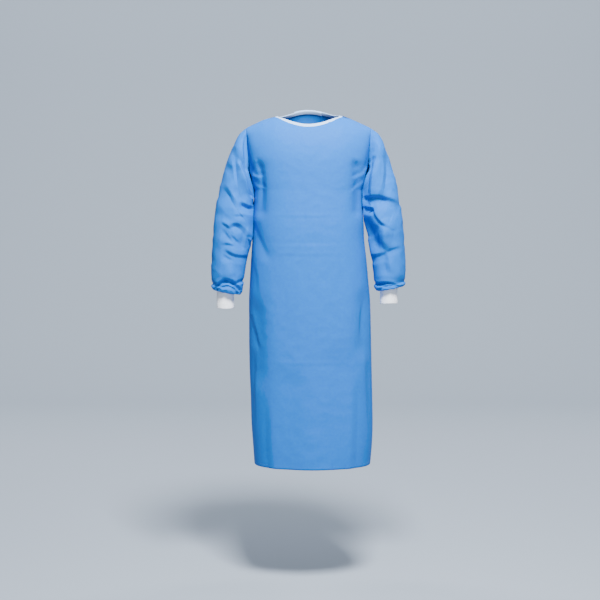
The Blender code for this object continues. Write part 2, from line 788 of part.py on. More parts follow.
def build():
    for old in list(bpy.data.objects):
        bpy.data.objects.remove(old, do_unlink=True)
    cloth = new_material("nonwoven_cloth", CLOTH_COLOUR, CLOTH_ROUGHNESS)
    knit = new_material("rib_knit", KNIT_COLOUR, KNIT_ROUGHNESS)
    grids = sewn_grids()
    normals = worn_shape(grids)
    for name, (rows, closed) in grids.items():
        cloth_solid(name, rows, normals, cloth, closed)
    cuff_solid("cuff_left", CUFF_LEFT, knit)
    cuff_solid("cuff_right", CUFF_RIGHT, knit)
    binding = new_material("folded_binding", BINDING_COLOUR, BINDING_ROUGHNESS)
    binding_solid("neck_binding", neck_path(grids, normals), binding)
    tie_solid("waist_tie", cloth)


build()
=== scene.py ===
import math
from functools import lru_cache

import bpy
import numpy as np
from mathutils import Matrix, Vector, noise


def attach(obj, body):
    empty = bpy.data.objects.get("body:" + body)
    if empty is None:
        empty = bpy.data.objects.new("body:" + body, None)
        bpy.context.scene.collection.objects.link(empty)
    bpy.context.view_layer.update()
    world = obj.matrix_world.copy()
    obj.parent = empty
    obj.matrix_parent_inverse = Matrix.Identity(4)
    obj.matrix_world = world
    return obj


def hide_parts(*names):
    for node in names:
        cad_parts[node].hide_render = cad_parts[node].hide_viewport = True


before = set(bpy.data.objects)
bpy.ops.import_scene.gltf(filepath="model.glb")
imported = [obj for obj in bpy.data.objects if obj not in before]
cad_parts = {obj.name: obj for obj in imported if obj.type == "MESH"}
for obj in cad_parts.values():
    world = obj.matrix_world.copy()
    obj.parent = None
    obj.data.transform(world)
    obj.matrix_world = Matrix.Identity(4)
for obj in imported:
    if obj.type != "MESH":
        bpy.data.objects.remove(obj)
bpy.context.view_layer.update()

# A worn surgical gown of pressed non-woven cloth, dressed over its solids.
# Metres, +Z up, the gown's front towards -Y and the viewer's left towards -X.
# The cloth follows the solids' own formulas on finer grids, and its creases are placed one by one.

bl_info = {
    "name": "Surgical gown",
    "version": (1, 0, 0),
    "blender": (4, 5, 0),
    "location": "View3D > Sidebar > Gown",
    "description": "Makes a worn surgical gown: cloth, knit cuffs, binding, tie, sewing and studio",
    "category": "Object",
}

# The cut, as in the solids
HEM_Z = -1.137
UNDERARM_Z = -0.235
SHOULDER_HALF = 0.203
CHEST_SHIFT = -0.0055
RING_POWER = 2.3
CHEST_POWER = 2.6
ARCH_EASE = 0.8
NECK_HALF = 0.111
NECK_FRONT = 0.080
NECK_BACK = 0.074
NECK_SIDE_Z = 0.003
NAPE_RISE = 0.062
LAP_LIFT = 0.0045
LAP_AT_NECK = 0.045
LAP_AT_HEM = 0.085
LAP_RAMP_START = 0.150
LAP_RAMP_END = 0.100
SOLID_WALL = 0.0015
RIB_HEIGHT = 0.0006
CUFF_CLEARANCE = 0.00025
CUFF_WAISTING = 0.02
END_LEVELLING = 0.4
BODY_CLEARANCE = 0.0014
CLEARANCE_DROP = 0.020

# Grid steps, as in the solids
ARCH_ROWS = 13
ARCH_CROWDING = 1.5
SKIRT_ROWS = 17
SKIRT_CROWDING = 1.15
SHOULDER_COLUMNS = 4
NECK_COLUMNS = 6
FRONT_COLUMNS = 20
BACK_COLUMNS = 12
HEAD_SHARE = 0.30

# Where the skirt runs into the chest: half height that is eased, and how soon it starts from the sides
EASED_HALF = 0.050
EASED_PASSES = 240
EASED_SIDE = 5.0

# How much finer the cloth is than the solids
SKIRT_FINER = 12
ARCH_FINER = 6
COLUMNS_FINER = 5
SLEEVE_STEP = 0.0026
END_STEP = 0.0012
END_FROM = 0.91
TURN_STEPS = 9
EDGE_STEPS = (0.0015, 0.0032)

# Folds fade out where the cloth turns away from the side they are drawn on
FOLD_FACING = 1.6
LONG_FOLD = 0.20
CREASE_FACING = 2.2
CREASE_ROUNDING = 0.0011
RIDGE_SHARE = 0.45
CREASE_STEPS = 8
SEAM_DIP = 0.0010
SEAM_DIP_WIDTH = 0.0022

# Columns: height, middle, half width, depth of the front, depth of the back
BODY_LEVELS = (
    (-1.137, 0.0080, 0.1925, 0.150, 0.152),
    (-1.063, 0.0084, 0.1982, 0.149, 0.153),
    (-1.000, 0.0070, 0.2010, 0.147, 0.153),
    (-0.900, 0.0050, 0.2010, 0.145, 0.152),
    (-0.800, 0.0022, 0.2005, 0.142, 0.150),
    (-0.700, 0.0004, 0.2003, 0.140, 0.146),
    (-0.600, -0.0015, 0.1998, 0.138, 0.138),
    (-0.530, -0.0030, 0.1950, 0.136, 0.130),
    (-0.464, -0.0042, 0.1900, 0.134, 0.122),
    (-0.400, -0.0058, 0.1842, 0.133, 0.117),
    (-0.346, -0.0060, 0.1820, 0.131, 0.115),
    (-0.300, -0.0062, 0.1790, 0.128, 0.114),
    (-0.235, -0.0055, 0.1775, 0.122, 0.112),
)

# Columns: height as a share of the armhole's, half width of the armhole, half width the chest rounds to
ARMHOLE = (
    (0.00, 0.1775, 0.1775),
    (0.09, 0.1800, 0.1840),
    (0.30, 0.1855, 0.1970),
    (0.62, 0.1970, 0.2120),
    (0.86, 0.2020, 0.2200),
    (1.00, 0.2030, 0.2250),
)

# Columns: half width, height of the shoulder line
SHOULDER_LINE = (
    (0.1110, 0.0030),
    (0.1445, -0.0060),
    (0.1735, -0.0190),
    (0.2030, -0.0325),
)

# Columns: place along the sleeve, outer side x and z, inner side x and z, y of the middle, half depth
SLEEVE_LEFT = (
    (0.000, 0.2085, -0.0325, 0.1830, -0.2350, 0.003, 0.052),
    (0.060, 0.2320, -0.0550, 0.1820, -0.2470, -0.001, 0.062),
    (0.130, 0.2500, -0.0900, 0.1810, -0.2640, -0.002, 0.067),
    (0.220, 0.2685, -0.1300, 0.1840, -0.2870, -0.003, 0.069),
    (0.320, 0.2815, -0.1750, 0.1820, -0.3150, -0.008, 0.070),
    (0.420, 0.2945, -0.2220, 0.1820, -0.3420, -0.013, 0.070),
    (0.520, 0.3045, -0.2700, 0.1840, -0.3720, -0.018, 0.069),
    (0.620, 0.3120, -0.3200, 0.1900, -0.4030, -0.022, 0.068),
    (0.710, 0.3175, -0.3750, 0.2000, -0.4350, -0.025, 0.065),
    (0.790, 0.3210, -0.4300, 0.2085, -0.4730, -0.028, 0.062),
    (0.860, 0.3230, -0.4820, 0.2140, -0.5080, -0.031, 0.059),
    (0.920, 0.3235, -0.5240, 0.2190, -0.5420, -0.033, 0.057),
    (0.965, 0.3230, -0.5460, 0.2215, -0.5640, -0.034, 0.054),
    (1.000, 0.3200, -0.5560, 0.2260, -0.5740, -0.035, 0.050),
)
SLEEVE_RIGHT = (
    (0.000, 0.1975, -0.0325, 0.1720, -0.2350, 0.003, 0.052),
    (0.060, 0.2250, -0.0550, 0.1660, -0.2470, -0.001, 0.062),
    (0.130, 0.2430, -0.0900, 0.1650, -0.2640, -0.003, 0.067),
    (0.220, 0.2580, -0.1300, 0.1660, -0.2870, -0.005, 0.069),
    (0.320, 0.2730, -0.1750, 0.1710, -0.3150, -0.009, 0.070),
    (0.420, 0.2845, -0.2220, 0.1780, -0.3420, -0.013, 0.070),
    (0.520, 0.2925, -0.2700, 0.1860, -0.3720, -0.016, 0.069),
    (0.620, 0.3010, -0.3200, 0.1910, -0.4030, -0.020, 0.068),
    (0.710, 0.3070, -0.3750, 0.1960, -0.4350, -0.024, 0.065),
    (0.790, 0.3095, -0.4300, 0.2030, -0.4700, -0.027, 0.062),
    (0.860, 0.3125, -0.4730, 0.2070, -0.5010, -0.030, 0.059),
    (0.920, 0.3115, -0.5130, 0.2095, -0.5330, -0.033, 0.057),
    (0.965, 0.3110, -0.5350, 0.2110, -0.5520, -0.034, 0.054),
    (1.000, 0.3080, -0.5450, 0.2150, -0.5620, -0.035, 0.050),
)

# Columns: middle x and y, z of the upper and lower end, half width, half depth
CUFF_LEFT = (-0.2776, -0.036, -0.5500, -0.6200, 0.0284, 0.0330)
CUFF_RIGHT = (0.2575, -0.036, -0.5420, -0.6040, 0.0282, 0.0330)

# Columns: share of the way in to the cuff, drop below the sleeve's last ring
TURN_UNDER = (
    (0.00, 0.0000),
    (0.20, -0.0030),
    (0.40, -0.0035),
    (0.75, -0.0026),
    (1.00, -0.0010),
)

# Main folds. Columns: x and z where the fold starts, x and z where it ends, width, depth
FRONT_FOLDS = (
    (-0.218, -0.070, -0.206, -0.165, 0.018, 0.0080),
    (-0.262, -0.170, -0.220, -0.250, 0.021, 0.0085),
    (-0.255, -0.112, -0.230, -0.170, 0.019, 0.0050),
    (-0.285, -0.215, -0.265, -0.300, 0.023, 0.0045),
    (-0.245, -0.245, -0.210, -0.285, 0.020, 0.0085),
    (-0.282, -0.320, -0.228, -0.350, 0.019, 0.0065),
    (-0.272, -0.370, -0.215, -0.410, 0.019, 0.0070),
    (-0.284, -0.425, -0.262, -0.470, 0.020, 0.0045),
    (-0.308, -0.540, -0.278, -0.531, 0.014, 0.0045),
    (-0.278, -0.531, -0.236, -0.545, 0.014, 0.0045),
    (0.212, -0.070, 0.196, -0.158, 0.018, 0.0080),
    (0.236, -0.138, 0.254, -0.235, 0.023, 0.0075),
    (0.192, -0.275, 0.235, -0.270, 0.024, 0.0085),
    (0.235, -0.270, 0.284, -0.300, 0.021, 0.0060),
    (0.204, -0.318, 0.216, -0.342, 0.018, -0.0055),
    (0.216, -0.342, 0.245, -0.366, 0.018, -0.0055),
    (0.210, -0.410, 0.250, -0.434, 0.018, 0.0060),
    (0.238, -0.440, 0.243, -0.490, 0.019, 0.0045),
    (0.222, -0.538, 0.296, -0.530, 0.014, 0.0045),
    (-0.166, -0.170, -0.161, -0.300, 0.021, 0.0075),
    (0.152, -0.165, 0.156, -0.300, 0.021, 0.0075),
    (-0.180, -0.360, -0.140, -0.440, 0.023, 0.0045),
    (-0.174, -0.560, -0.175, -0.900, 0.026, 0.0080),
    (0.173, -0.540, 0.176, -0.800, 0.026, 0.0075),
    (-0.060, -0.780, -0.070, -1.137, 0.045, 0.0060),
    (0.085, -0.700, 0.100, -1.137, 0.050, 0.0060),
)
BACK_FOLDS = (
    (-0.225, -0.070, -0.208, -0.170, 0.019, 0.0070),
    (-0.270, -0.180, -0.225, -0.255, 0.021, 0.0070),
    (-0.275, -0.250, -0.215, -0.290, 0.021, 0.0085),
    (-0.290, -0.300, -0.225, -0.335, 0.020, 0.0060),
    (-0.290, -0.400, -0.235, -0.440, 0.020, 0.0055),
    (-0.300, -0.538, -0.238, -0.543, 0.014, 0.0060),
    (0.218, -0.070, 0.202, -0.165, 0.019, 0.0070),
    (0.262, -0.170, 0.222, -0.250, 0.021, 0.0070),
    (0.272, -0.255, 0.205, -0.285, 0.021, 0.0085),
    (0.280, -0.310, 0.218, -0.345, 0.020, 0.0060),
    (0.285, -0.410, 0.228, -0.430, 0.020, 0.0055),
    (0.292, -0.530, 0.225, -0.538, 0.014, 0.0060),
    (-0.155, -0.150, -0.152, -0.370, 0.023, 0.0080),
    (0.150, -0.150, 0.146, -0.370, 0.023, 0.0080),
    (-0.130, -0.520, -0.150, -0.900, 0.032, 0.0080),
    (0.134, -0.520, 0.150, -0.850, 0.032, 0.0080),
)

# Creases. Cloth falls gently to a crease from the left of its run and rises steeply on the right.
# A depth below 0 makes a ridge. Columns: side they face, start, bend and end (across, up),
# width, share of the width that the steep side takes, depth, strength at start and end
SLEEVE_CREASES = (
    # Viewer's left sleeve and armhole
    ("front", -0.2085, -0.050, -0.2075, -0.100, -0.196, -0.165, 0.014, 0.60, 0.0045, 0.2, 0.6),
    ("front", -0.249, -0.112, -0.244, -0.170, -0.230, -0.228, 0.024, 0.35, 0.0036, 0.1, 0.0),
    ("front", -0.240, -0.130, -0.208, -0.166, -0.186, -0.250, 0.030, 0.42, 0.0076, 0.1, 0.9),
    ("front", -0.200, -0.345, -0.208, -0.392, -0.214, -0.440, 0.040, 0.12, -0.0040, 0.0, 0.0),
    ("front", -0.232, -0.302, -0.262, -0.262, -0.292, -0.220, 0.040, 0.42, 0.0058, 0.4, 0.0),
    ("front", -0.180, -0.297, -0.206, -0.289, -0.228, -0.270, 0.022, 0.40, 0.0062, 0.9, 0.0),
    ("front", -0.206, -0.323, -0.230, -0.320, -0.252, -0.322, 0.014, 0.45, 0.0016, 0.2, 0.0),
    ("front", -0.204, -0.388, -0.238, -0.352, -0.266, -0.374, 0.028, 0.42, 0.0050, 0.7, 0.0),
    ("front", -0.258, -0.366, -0.276, -0.352, -0.294, -0.343, 0.020, 0.42, 0.0032, 0.2, 0.0),
    ("front", -0.242, -0.416, -0.268, -0.388, -0.298, -0.352, 0.024, 0.35, 0.0026, 0.0, 0.0),
    ("front", -0.222, -0.412, -0.244, -0.396, -0.260, -0.378, 0.018, 0.40, 0.0024, 0.2, 0.0),
    ("front", -0.240, -0.422, -0.264, -0.413, -0.290, -0.414, 0.018, 0.40, 0.0032, 0.0, 0.0),
    ("front", -0.212, -0.454, -0.252, -0.447, -0.288, -0.424, 0.022, 0.40, 0.0038, 0.6, 0.0),
    ("front", -0.246, -0.464, -0.268, -0.456, -0.290, -0.440, 0.016, 0.40, 0.0022, 0.0, 0.0),
    ("front", -0.248, -0.528, -0.259, -0.494, -0.247, -0.458, 0.026, 0.80, -0.0032, 0.1, 0.2),
    ("front", -0.228, -0.560, -0.266, -0.528, -0.310, -0.550, 0.013, 0.50, 0.0050, 0.9, 0.9),
    ("front", -0.236, -0.570, -0.264, -0.547, -0.304, -0.559, 0.009, 0.55, 0.0034, 0.8, 0.8),
    # Viewer's right sleeve and armhole
    ("front", 0.2000, -0.050, 0.1920, -0.104, 0.1760, -0.165, 0.014, 0.60, 0.0045, 0.2, 0.6),
    ("front", 0.183, -0.246, 0.186, -0.185, 0.197, -0.112, 0.030, 0.50, 0.0070, 0.9, 0.1),
    ("front", 0.217, -0.125, 0.200, -0.130, 0.188, -0.144, 0.014, 0.45, 0.0030, 0.0, 0.5),
    ("front", 0.246, -0.096, 0.255, -0.176, 0.233, -0.254, 0.024, 0.62, 0.0046, 0.1, 0.3),
    ("front", 0.290, -0.286, 0.238, -0.262, 0.172, -0.263, 0.028, 0.30, 0.0058, 0.0, 0.9),
    ("front", 0.208, -0.297, 0.192, -0.300, 0.172, -0.296, 0.018, 0.50, 0.0058, 0.0, 0.9),
    ("front", 0.252, -0.358, 0.222, -0.339, 0.196, -0.298, 0.030, 0.26, 0.0060, 0.2, 0.6),
    ("front", 0.250, -0.350, 0.236, -0.390, 0.243, -0.434, 0.030, 0.95, -0.0058, 0.4, 0.3),
    ("front", 0.298, -0.424, 0.268, -0.428, 0.243, -0.440, 0.018, 0.40, 0.0022, 0.0, 0.4),
    ("front", 0.247, -0.436, 0.228, -0.447, 0.203, -0.453, 0.024, 0.42, 0.0042, 0.0, 0.8),
    ("front", 0.250, -0.458, 0.258, -0.482, 0.268, -0.508, 0.020, 0.80, -0.0022, 0.0, 0.0),
    ("front", 0.284, -0.545, 0.246, -0.536, 0.212, -0.543, 0.011, 0.50, 0.0048, 0.2, 0.9),
    ("front", 0.304, -0.549, 0.262, -0.546, 0.226, -0.554, 0.008, 0.55, 0.0026, 0.3, 0.8),
    ("front", 0.172, -0.310, 0.186, -0.385, 0.201, -0.455, 0.052, 0.10, 0.0125, 0.1, 0.0),
    # Back of both sleeves
    ("back", -0.214, -0.070, -0.206, -0.120, -0.196, -0.176, 0.016, 0.60, 0.0042, 0.2, 0.6),
    ("back", -0.216, -0.258, -0.246, -0.216, -0.272, -0.170, 0.034, 0.42, 0.0050, 0.5, 0.0),
    ("back", -0.186, -0.292, -0.240, -0.278, -0.292, -0.244, 0.028, 0.38, 0.0056, 0.9, 0.0),
    ("back", -0.206, -0.342, -0.254, -0.328, -0.298, -0.296, 0.026, 0.40, 0.0042, 0.6, 0.0),
    ("back", -0.236, -0.380, -0.268, -0.372, -0.296, -0.352, 0.020, 0.40, 0.0028, 0.0, 0.0),
    ("back", -0.218, -0.446, -0.262, -0.426, -0.296, -0.396, 0.024, 0.40, 0.0036, 0.4, 0.0),
    ("back", -0.254, -0.510, -0.266, -0.480, -0.270, -0.448, 0.024, 0.70, -0.0024, 0.0, 0.0),
    ("back", -0.228, -0.558, -0.266, -0.530, -0.308, -0.550, 0.013, 0.50, 0.0046, 0.9, 0.9),
    ("back", 0.206, -0.070, 0.198, -0.120, 0.184, -0.172, 0.016, 0.60, 0.0042, 0.2, 0.6),
    ("back", 0.264, -0.162, 0.238, -0.212, 0.206, -0.250, 0.034, 0.42, 0.0050, 0.0, 0.5),
    ("back", 0.280, -0.240, 0.236, -0.276, 0.176, -0.288, 0.028, 0.38, 0.0056, 0.0, 0.9),
    ("back", 0.288, -0.298, 0.250, -0.334, 0.196, -0.348, 0.026, 0.40, 0.0042, 0.0, 0.6),
    ("back", 0.290, -0.402, 0.256, -0.422, 0.212, -0.432, 0.024, 0.40, 0.0036, 0.0, 0.4),
    ("back", 0.262, -0.440, 0.256, -0.472, 0.252, -0.506, 0.024, 0.70, -0.0024, 0.0, 0.0),
    ("back", 0.300, -0.542, 0.256, -0.528, 0.216, -0.546, 0.013, 0.50, 0.0046, 0.9, 0.9),
    # Outer sides of the sleeves; here the first number of each pair runs from front to back
    ("left", -0.044, -0.246, -0.006, -0.262, 0.048, -0.248, 0.026, 0.45, 0.0016, 0.0, 0.5),
    ("left", -0.064, -0.362, -0.020, -0.388, 0.034, -0.378, 0.024, 0.45, 0.0014, 0.0, 0.3),
    ("left", -0.076, -0.452, -0.034, -0.470, 0.010, -0.462, 0.022, 0.45, 0.0012, 0.0, 0.0),
    ("left", -0.090, -0.550, -0.034, -0.540, 0.020, -0.550, 0.012, 0.50, 0.0032, 0.8, 0.8),
    ("right", -0.058, -0.288, -0.008, -0.276, 0.050, -0.258, 0.026, 0.45, 0.0016, 0.4, 0.6),
    ("right", -0.066, -0.424, -0.026, -0.408, 0.030, -0.412, 0.022, 0.45, 0.0014, 0.2, 0.4),
    ("right", -0.088, -0.542, -0.034, -0.532, 0.020, -0.542, 0.012, 0.50, 0.0030, 0.8, 0.8),
)
BODY_CREASES = (
    # Front of the body
    ("front", -0.171, -0.150, -0.161, -0.219, -0.168, -0.325, 0.020, 0.45, 0.0026, 0.7, 0.0),
    ("front", -0.190, -0.176, -0.172, -0.188, -0.150, -0.180, 0.014, 0.50, 0.0016, 0.9, 0.0),
    ("front", -0.183, -0.205, -0.164, -0.222, -0.136, -0.226, 0.014, 0.50, 0.0012, 0.9, 0.0),
    ("front", 0.1595, -0.325, 0.161, -0.219, 0.149, -0.150, 0.020, 0.45, 0.0022, 0.0, 0.7),
    ("front", 0.128, -0.186, 0.150, -0.190, 0.173, -0.174, 0.014, 0.50, 0.0014, 0.0, 0.9),
    ("front", 0.122, -0.232, 0.148, -0.226, 0.171, -0.204, 0.014, 0.50, 0.0012, 0.0, 0.9),
    ("front", -0.130, -0.470, -0.160, -0.412, -0.190, -0.3475, 0.030, 0.45, 0.0018, 0.0, 0.7),
    ("front", -0.172, -0.590, -0.177, -0.520, -0.188, -0.470, 0.022, 0.45, 0.0012, 0.0, 0.3),
    ("front", -0.170, -0.760, -0.184, -0.712, -0.198, -0.649, 0.022, 0.45, 0.0028, 0.0, 0.5),
    ("front", 0.182, -0.580, 0.172, -0.650, 0.170, -0.740, 0.026, 0.45, 0.0022, 0.0, 0.0),
    ("front", 0.150, -0.840, 0.156, -0.960, 0.150, -1.137, 0.034, 0.60, 0.0030, 0.0, 0.9),
    ("front", -0.140, -1.137, -0.146, -1.020, -0.142, -0.900, 0.034, 0.60, 0.0026, 0.9, 0.0),
    ("front", 0.040, -0.960, 0.046, -1.050, 0.040, -1.137, 0.040, 0.70, 0.0016, 0.0, 0.9),
    ("front", -0.070, -0.480, -0.082, -0.640, -0.070, -0.820, 0.050, 0.80, 0.0012, 0.0, 0.0),
    ("front", 0.074, -0.800, 0.092, -0.600, 0.078, -0.450, 0.050, 0.80, 0.0012, 0.0, 0.0),
    # Back of the body: pulled down from the shoulder blades and in towards the tie
    ("back", -0.176, -0.150, -0.158, -0.240, -0.154, -0.370, 0.024, 0.45, 0.0042, 0.7, 0.0),
    ("back", 0.146, -0.370, 0.150, -0.240, 0.170, -0.150, 0.024, 0.45, 0.0042, 0.0, 0.7),
    ("back", -0.116, -0.426, -0.132, -0.370, -0.126, -0.296, 0.024, 0.50, 0.0032, 0.9, 0.0),
    ("back", 0.128, -0.292, 0.134, -0.366, 0.116, -0.426, 0.024, 0.50, 0.0032, 0.0, 0.9),
    ("back", -0.114, -0.438, -0.146, -0.430, -0.178, -0.398, 0.020, 0.45, 0.0036, 0.9, 0.2),
    ("back", 0.174, -0.394, 0.146, -0.428, 0.114, -0.438, 0.020, 0.45, 0.0036, 0.2, 0.9),
    ("back", -0.140, -0.660, -0.134, -0.540, -0.116, -0.456, 0.030, 0.45, 0.0040, 0.0, 0.9),
    ("back", 0.116, -0.456, 0.136, -0.536, 0.144, -0.650, 0.030, 0.45, 0.0040, 0.9, 0.0),
    ("back", -0.096, -0.480, -0.102, -0.560, -0.098, -0.650, 0.026, 0.60, 0.0028, 0.4, 0.0),
    ("back", 0.094, -0.480, 0.104, -0.556, 0.102, -0.660, 0.026, 0.60, 0.0028, 0.4, 0.0),
    ("back", -0.120, -0.880, -0.128, -1.010, -0.120, -1.137, 0.040, 0.60, 0.0034, 0.0, 0.9),
    ("back", 0.128, -0.860, 0.140, -1.000, 0.136, -1.137, 0.040, 0.60, 0.0034, 0.0, 0.9),
    # Sides of the skirt
    ("left", 0.030, -0.620, 0.022, -0.780, 0.030, -0.960, 0.036, 0.60, 0.0036, 0.0, 0.0),
    ("left", -0.060, -0.700, -0.052, -0.860, -0.060, -1.040, 0.034, 0.60, 0.0028, 0.0, 0.0),
    ("right", 0.034, -0.600, 0.040, -0.760, 0.032, -0.940, 0.036, 0.60, 0.0036, 0.0, 0.0),
    ("right", -0.056, -0.720, -0.064, -0.880, -0.056, -1.060, 0.034, 0.60, 0.0028, 0.0, 0.0),
)

# Fine lines left by the pack that the gown was pressed in. Columns as above
PRESS_LINES = (
    ("front", -0.0040, -0.150, -0.0010, -0.600, 0.0025, -1.137, 0.0100, 0.90, -0.00060, 0.3, 0.6),
    ("front", -0.150, -0.3150, -0.010, -0.3165, 0.140, -0.3150, 0.0100, 0.90, -0.00045, 0.0, 0.0),
    ("front", -0.154, -0.4045, -0.010, -0.4055, 0.140, -0.4045, 0.0100, 0.90, 0.00040, 0.0, 0.0),
    ("front", -0.154, -0.4400, -0.010, -0.4385, 0.140, -0.4400, 0.0100, 0.90, -0.00040, 0.0, 0.0),
    ("front", -0.160, -0.7900, 0.000, -0.7910, 0.160, -0.7900, 0.0100, 0.90, -0.00040, 0.0, 0.0),
    ("back", 0.100, -0.150, 0.102, -0.600, 0.104, -1.137, 0.0100, 0.90, -0.00050, 0.3, 0.6),
    ("back", -0.100, -0.150, -0.102, -0.600, -0.104, -1.137, 0.0100, 0.90, -0.00050, 0.3, 0.6),
    ("back", -0.154, -0.7900, 0.000, -0.7910, 0.154, -0.7900, 0.0100, 0.90, -0.00040, 0.0, 0.0),
)

# Gathers of the sleeve ends. Columns: turn round the sleeve in degrees, half width in degrees, depth
GATHERS = (
    (8, 8, 0.0013),
    (31, 7, 0.0009),
    (52, 9, 0.0015),
    (80, 8, 0.0011),
    (103, 6, 0.0008),
    (124, 9, 0.0014),
    (152, 8, 0.0010),
    (179, 9, 0.0013),
    (203, 7, 0.0009),
    (226, 8, 0.0014),
    (250, 7, 0.0010),
    (273, 9, 0.0015),
    (300, 7, 0.0009),
    (322, 8, 0.0012),
    (343, 6, 0.0008),
)
GATHER_FROM = 0.90

# Crumple of the pressed cloth: size of its ridges, and their height on sleeves and body
CRUMPLE_SIZE = 0.042
SLEEVE_CRUMPLE = 0.0005
BODY_CRUMPLE = 0.0003

# The binding, seen across: rise along the cloth, stand out from the middle of the wall
BINDING_SECTION = (
    (-0.0022, 0.0010),
    (-0.0018, 0.0012),
    (0.0010, 0.0013),
    (0.0050, 0.0014),
    (0.0082, 0.0013),
    (0.0096, 0.0009),
    (0.0101, 0.0000),
    (0.0096, -0.0009),
    (0.0082, -0.0013),
    (0.0050, -0.0014),
    (0.0010, -0.0013),
    (-0.0022, -0.0010),
)

# How often the tape's path is eased, so that it runs smoothly over the shoulder seams
NECK_EASED = 12

# The waist tie
TIE_Z = -0.440
TIE_WIDTH = 0.025
TIE_THICK = 0.0016
TIE_CLEARANCE = 0.0006
TIE_END = 0.115
TIE_STEP_START = -0.090
TIE_STEP_END = -0.072
TAIL_LENGTH = 0.230
TAIL_SPREAD = 0.014
TAIL_INNER = 0.003
TIE_EASE = 0.006
TAIL_TOP = 0.004
KNOT_HALF = 0.020
KNOT_RISE = 0.0155
KNOT_THICK = 0.0070
KNOT_WRAP = 0.0066
DRAWN_WIDTH = 0.52
DRAWN_LENGTH = 0.034


# Reading the tables

def read_table(rows, at):
    """The columns of a table at places between its rows, on smooth curves."""
    table = np.array(rows)
    keys = table[:, 0]
    order = np.arange(len(keys))
    before = np.maximum(order - 1, 0)
    after = np.minimum(order + 1, len(keys) - 1)
    at = np.clip(at, keys[0], keys[-1])
    low = np.clip(np.searchsorted(keys, at, side="right") - 1, 0, len(keys) - 2)
    span = keys[low + 1] - keys[low]
    share = (at - keys[low]) / span
    square = share * share
    cube = square * share
    columns = []
    for column in table.T[1:]:
        slopes = (column[after] - column[before]) / (keys[after] - keys[before])
        columns.append(
            (2 * cube - 3 * square + 1) * column[low]
            + (cube - 2 * square + share) * span * slopes[low]
            + (3 * square - 2 * cube) * column[low + 1]
            + (cube - square) * span * slopes[low + 1]
        )
    return columns


def smooth(share):
    """From 0 to 1 with a soft start and end."""
    share = np.clip(share, 0.0, 1.0)
    return share * share * (3 - 2 * share)


def signed_power(value, power):
    return np.sign(value) * np.abs(value) ** power


def unit(vectors):
    length = np.linalg.norm(vectors, axis=-1, keepdims=True)
    return vectors / np.maximum(length, 1e-12)


# The body's surface

def ring_point(angle, height):
    """Points of the body below the underarm: angle 0 is the middle of the front, 180 of the back."""
    angle, height = np.broadcast_arrays(angle, height)
    middle, half, front, back = read_table(BODY_LEVELS, height)
    across = signed_power(np.sin(angle), 2 / RING_POWER)
    along = signed_power(np.cos(angle), 2 / RING_POWER)
    depth = np.where(along > 0, front, back)
    return np.stack([middle + half * across, -depth * along, height], axis=-1)


def top_height(offset, behind):
    """Height of the shoulder line, which rises to the nape behind the neck."""
    away = np.abs(offset)
    line = read_table(SHOULDER_LINE, away)[0]
    nape = NAPE_RISE * (1 - np.minimum(away / NECK_HALF, 1) ** 2) ** 2 if behind else 0.0
    return np.where(away > NECK_HALF, line, NECK_SIDE_Z + nape)


def chest_depth(offset, reach, behind):
    _, _, front, back = read_table(BODY_LEVELS, UNDERARM_Z)
    inside = np.maximum(1 - (np.abs(offset) / reach) ** RING_POWER, 0.0)
    return (back if behind else front) * inside ** (1 / RING_POWER)


def neck_angle(offset, behind):
    """How far up its arch a column reaches: to the shoulder line, or to the neck edge."""
    radius = NECK_BACK if behind else NECK_FRONT
    edge = radius * np.sqrt(1 - np.minimum(np.abs(offset) / NECK_HALF, 1) ** 2)
    share = edge / chest_depth(offset, ARMHOLE[-1][2], behind)
    return np.arccos(np.clip(share, 0, 1) ** (CHEST_POWER / 2))


def arch_point(ring_share, top_offset, step, behind):
    """Points above the underarm. step runs from 0 there to 1 at the shoulder line or neck edge."""
    power = 2 / CHEST_POWER
    half, reach = read_table(ARMHOLE, np.sin(step * np.pi / 2) ** power)
    share = ring_share + (top_offset / SHOULDER_HALF - ring_share) * smooth(step ** ARCH_EASE)
    offset = share * half
    turn = step * neck_angle(top_offset, behind)
    depth = chest_depth(offset, reach, behind) * np.abs(np.cos(turn)) ** power
    height = UNDERARM_Z + (top_height(offset, behind) - UNDERARM_Z) * np.sin(turn) ** power
    return np.stack([CHEST_SHIFT + offset, depth if behind else -depth, height], axis=-1)


def crowded(count, finer, step):
    """Places from 0 to count, finer ones between, and two more beside each end for its seam."""
    places = np.arange(count * finer + 1) / finer
    near = np.array(EDGE_STEPS) / step
    return np.unique(np.concatenate([places, near, count - near]))


def skirt_places():
    return np.arange(SKIRT_ROWS * SKIRT_FINER) / SKIRT_FINER


def arch_places():
    places = crowded(ARCH_ROWS, ARCH_FINER, 0.026)
    return places[(places == 0) | (places > 0.5 / ARCH_FINER)]


def panel_surface(angles, top_offsets, behind):
    """Rows of points from the hem up. angles gives the ring angle of each column at a height."""
    left = (SKIRT_ROWS - skirt_places()[:, None]) / SKIRT_ROWS
    heights = UNDERARM_Z - (UNDERARM_Z - HEM_Z) * left ** SKIRT_CROWDING
    steps = (arch_places()[:, None] / ARCH_ROWS) ** ARCH_CROWDING
    shares = signed_power(np.sin(angles(UNDERARM_Z)), 2 / RING_POWER)
    lower = ring_point(angles(heights), heights)
    upper = arch_point(shares, top_offsets, steps, behind)
    surface = np.concatenate([lower, upper])
    y, z = surface[..., 1], surface[..., 2]
    up = np.clip((z[1:-1] - z[:-2]) / np.maximum(z[2:] - z[:-2], 1e-6), 0, 1)
    ease = smooth(2 - np.abs(z[1:-1] - UNDERARM_Z) / EASED_HALF) * smooth(EASED_SIDE * (1 - np.abs(shares)))
    for _ in range(EASED_PASSES):
        y[1:-1] += (y[:-2] + (y[2:] - y[:-2]) * up - y[1:-1]) * ease
    return surface


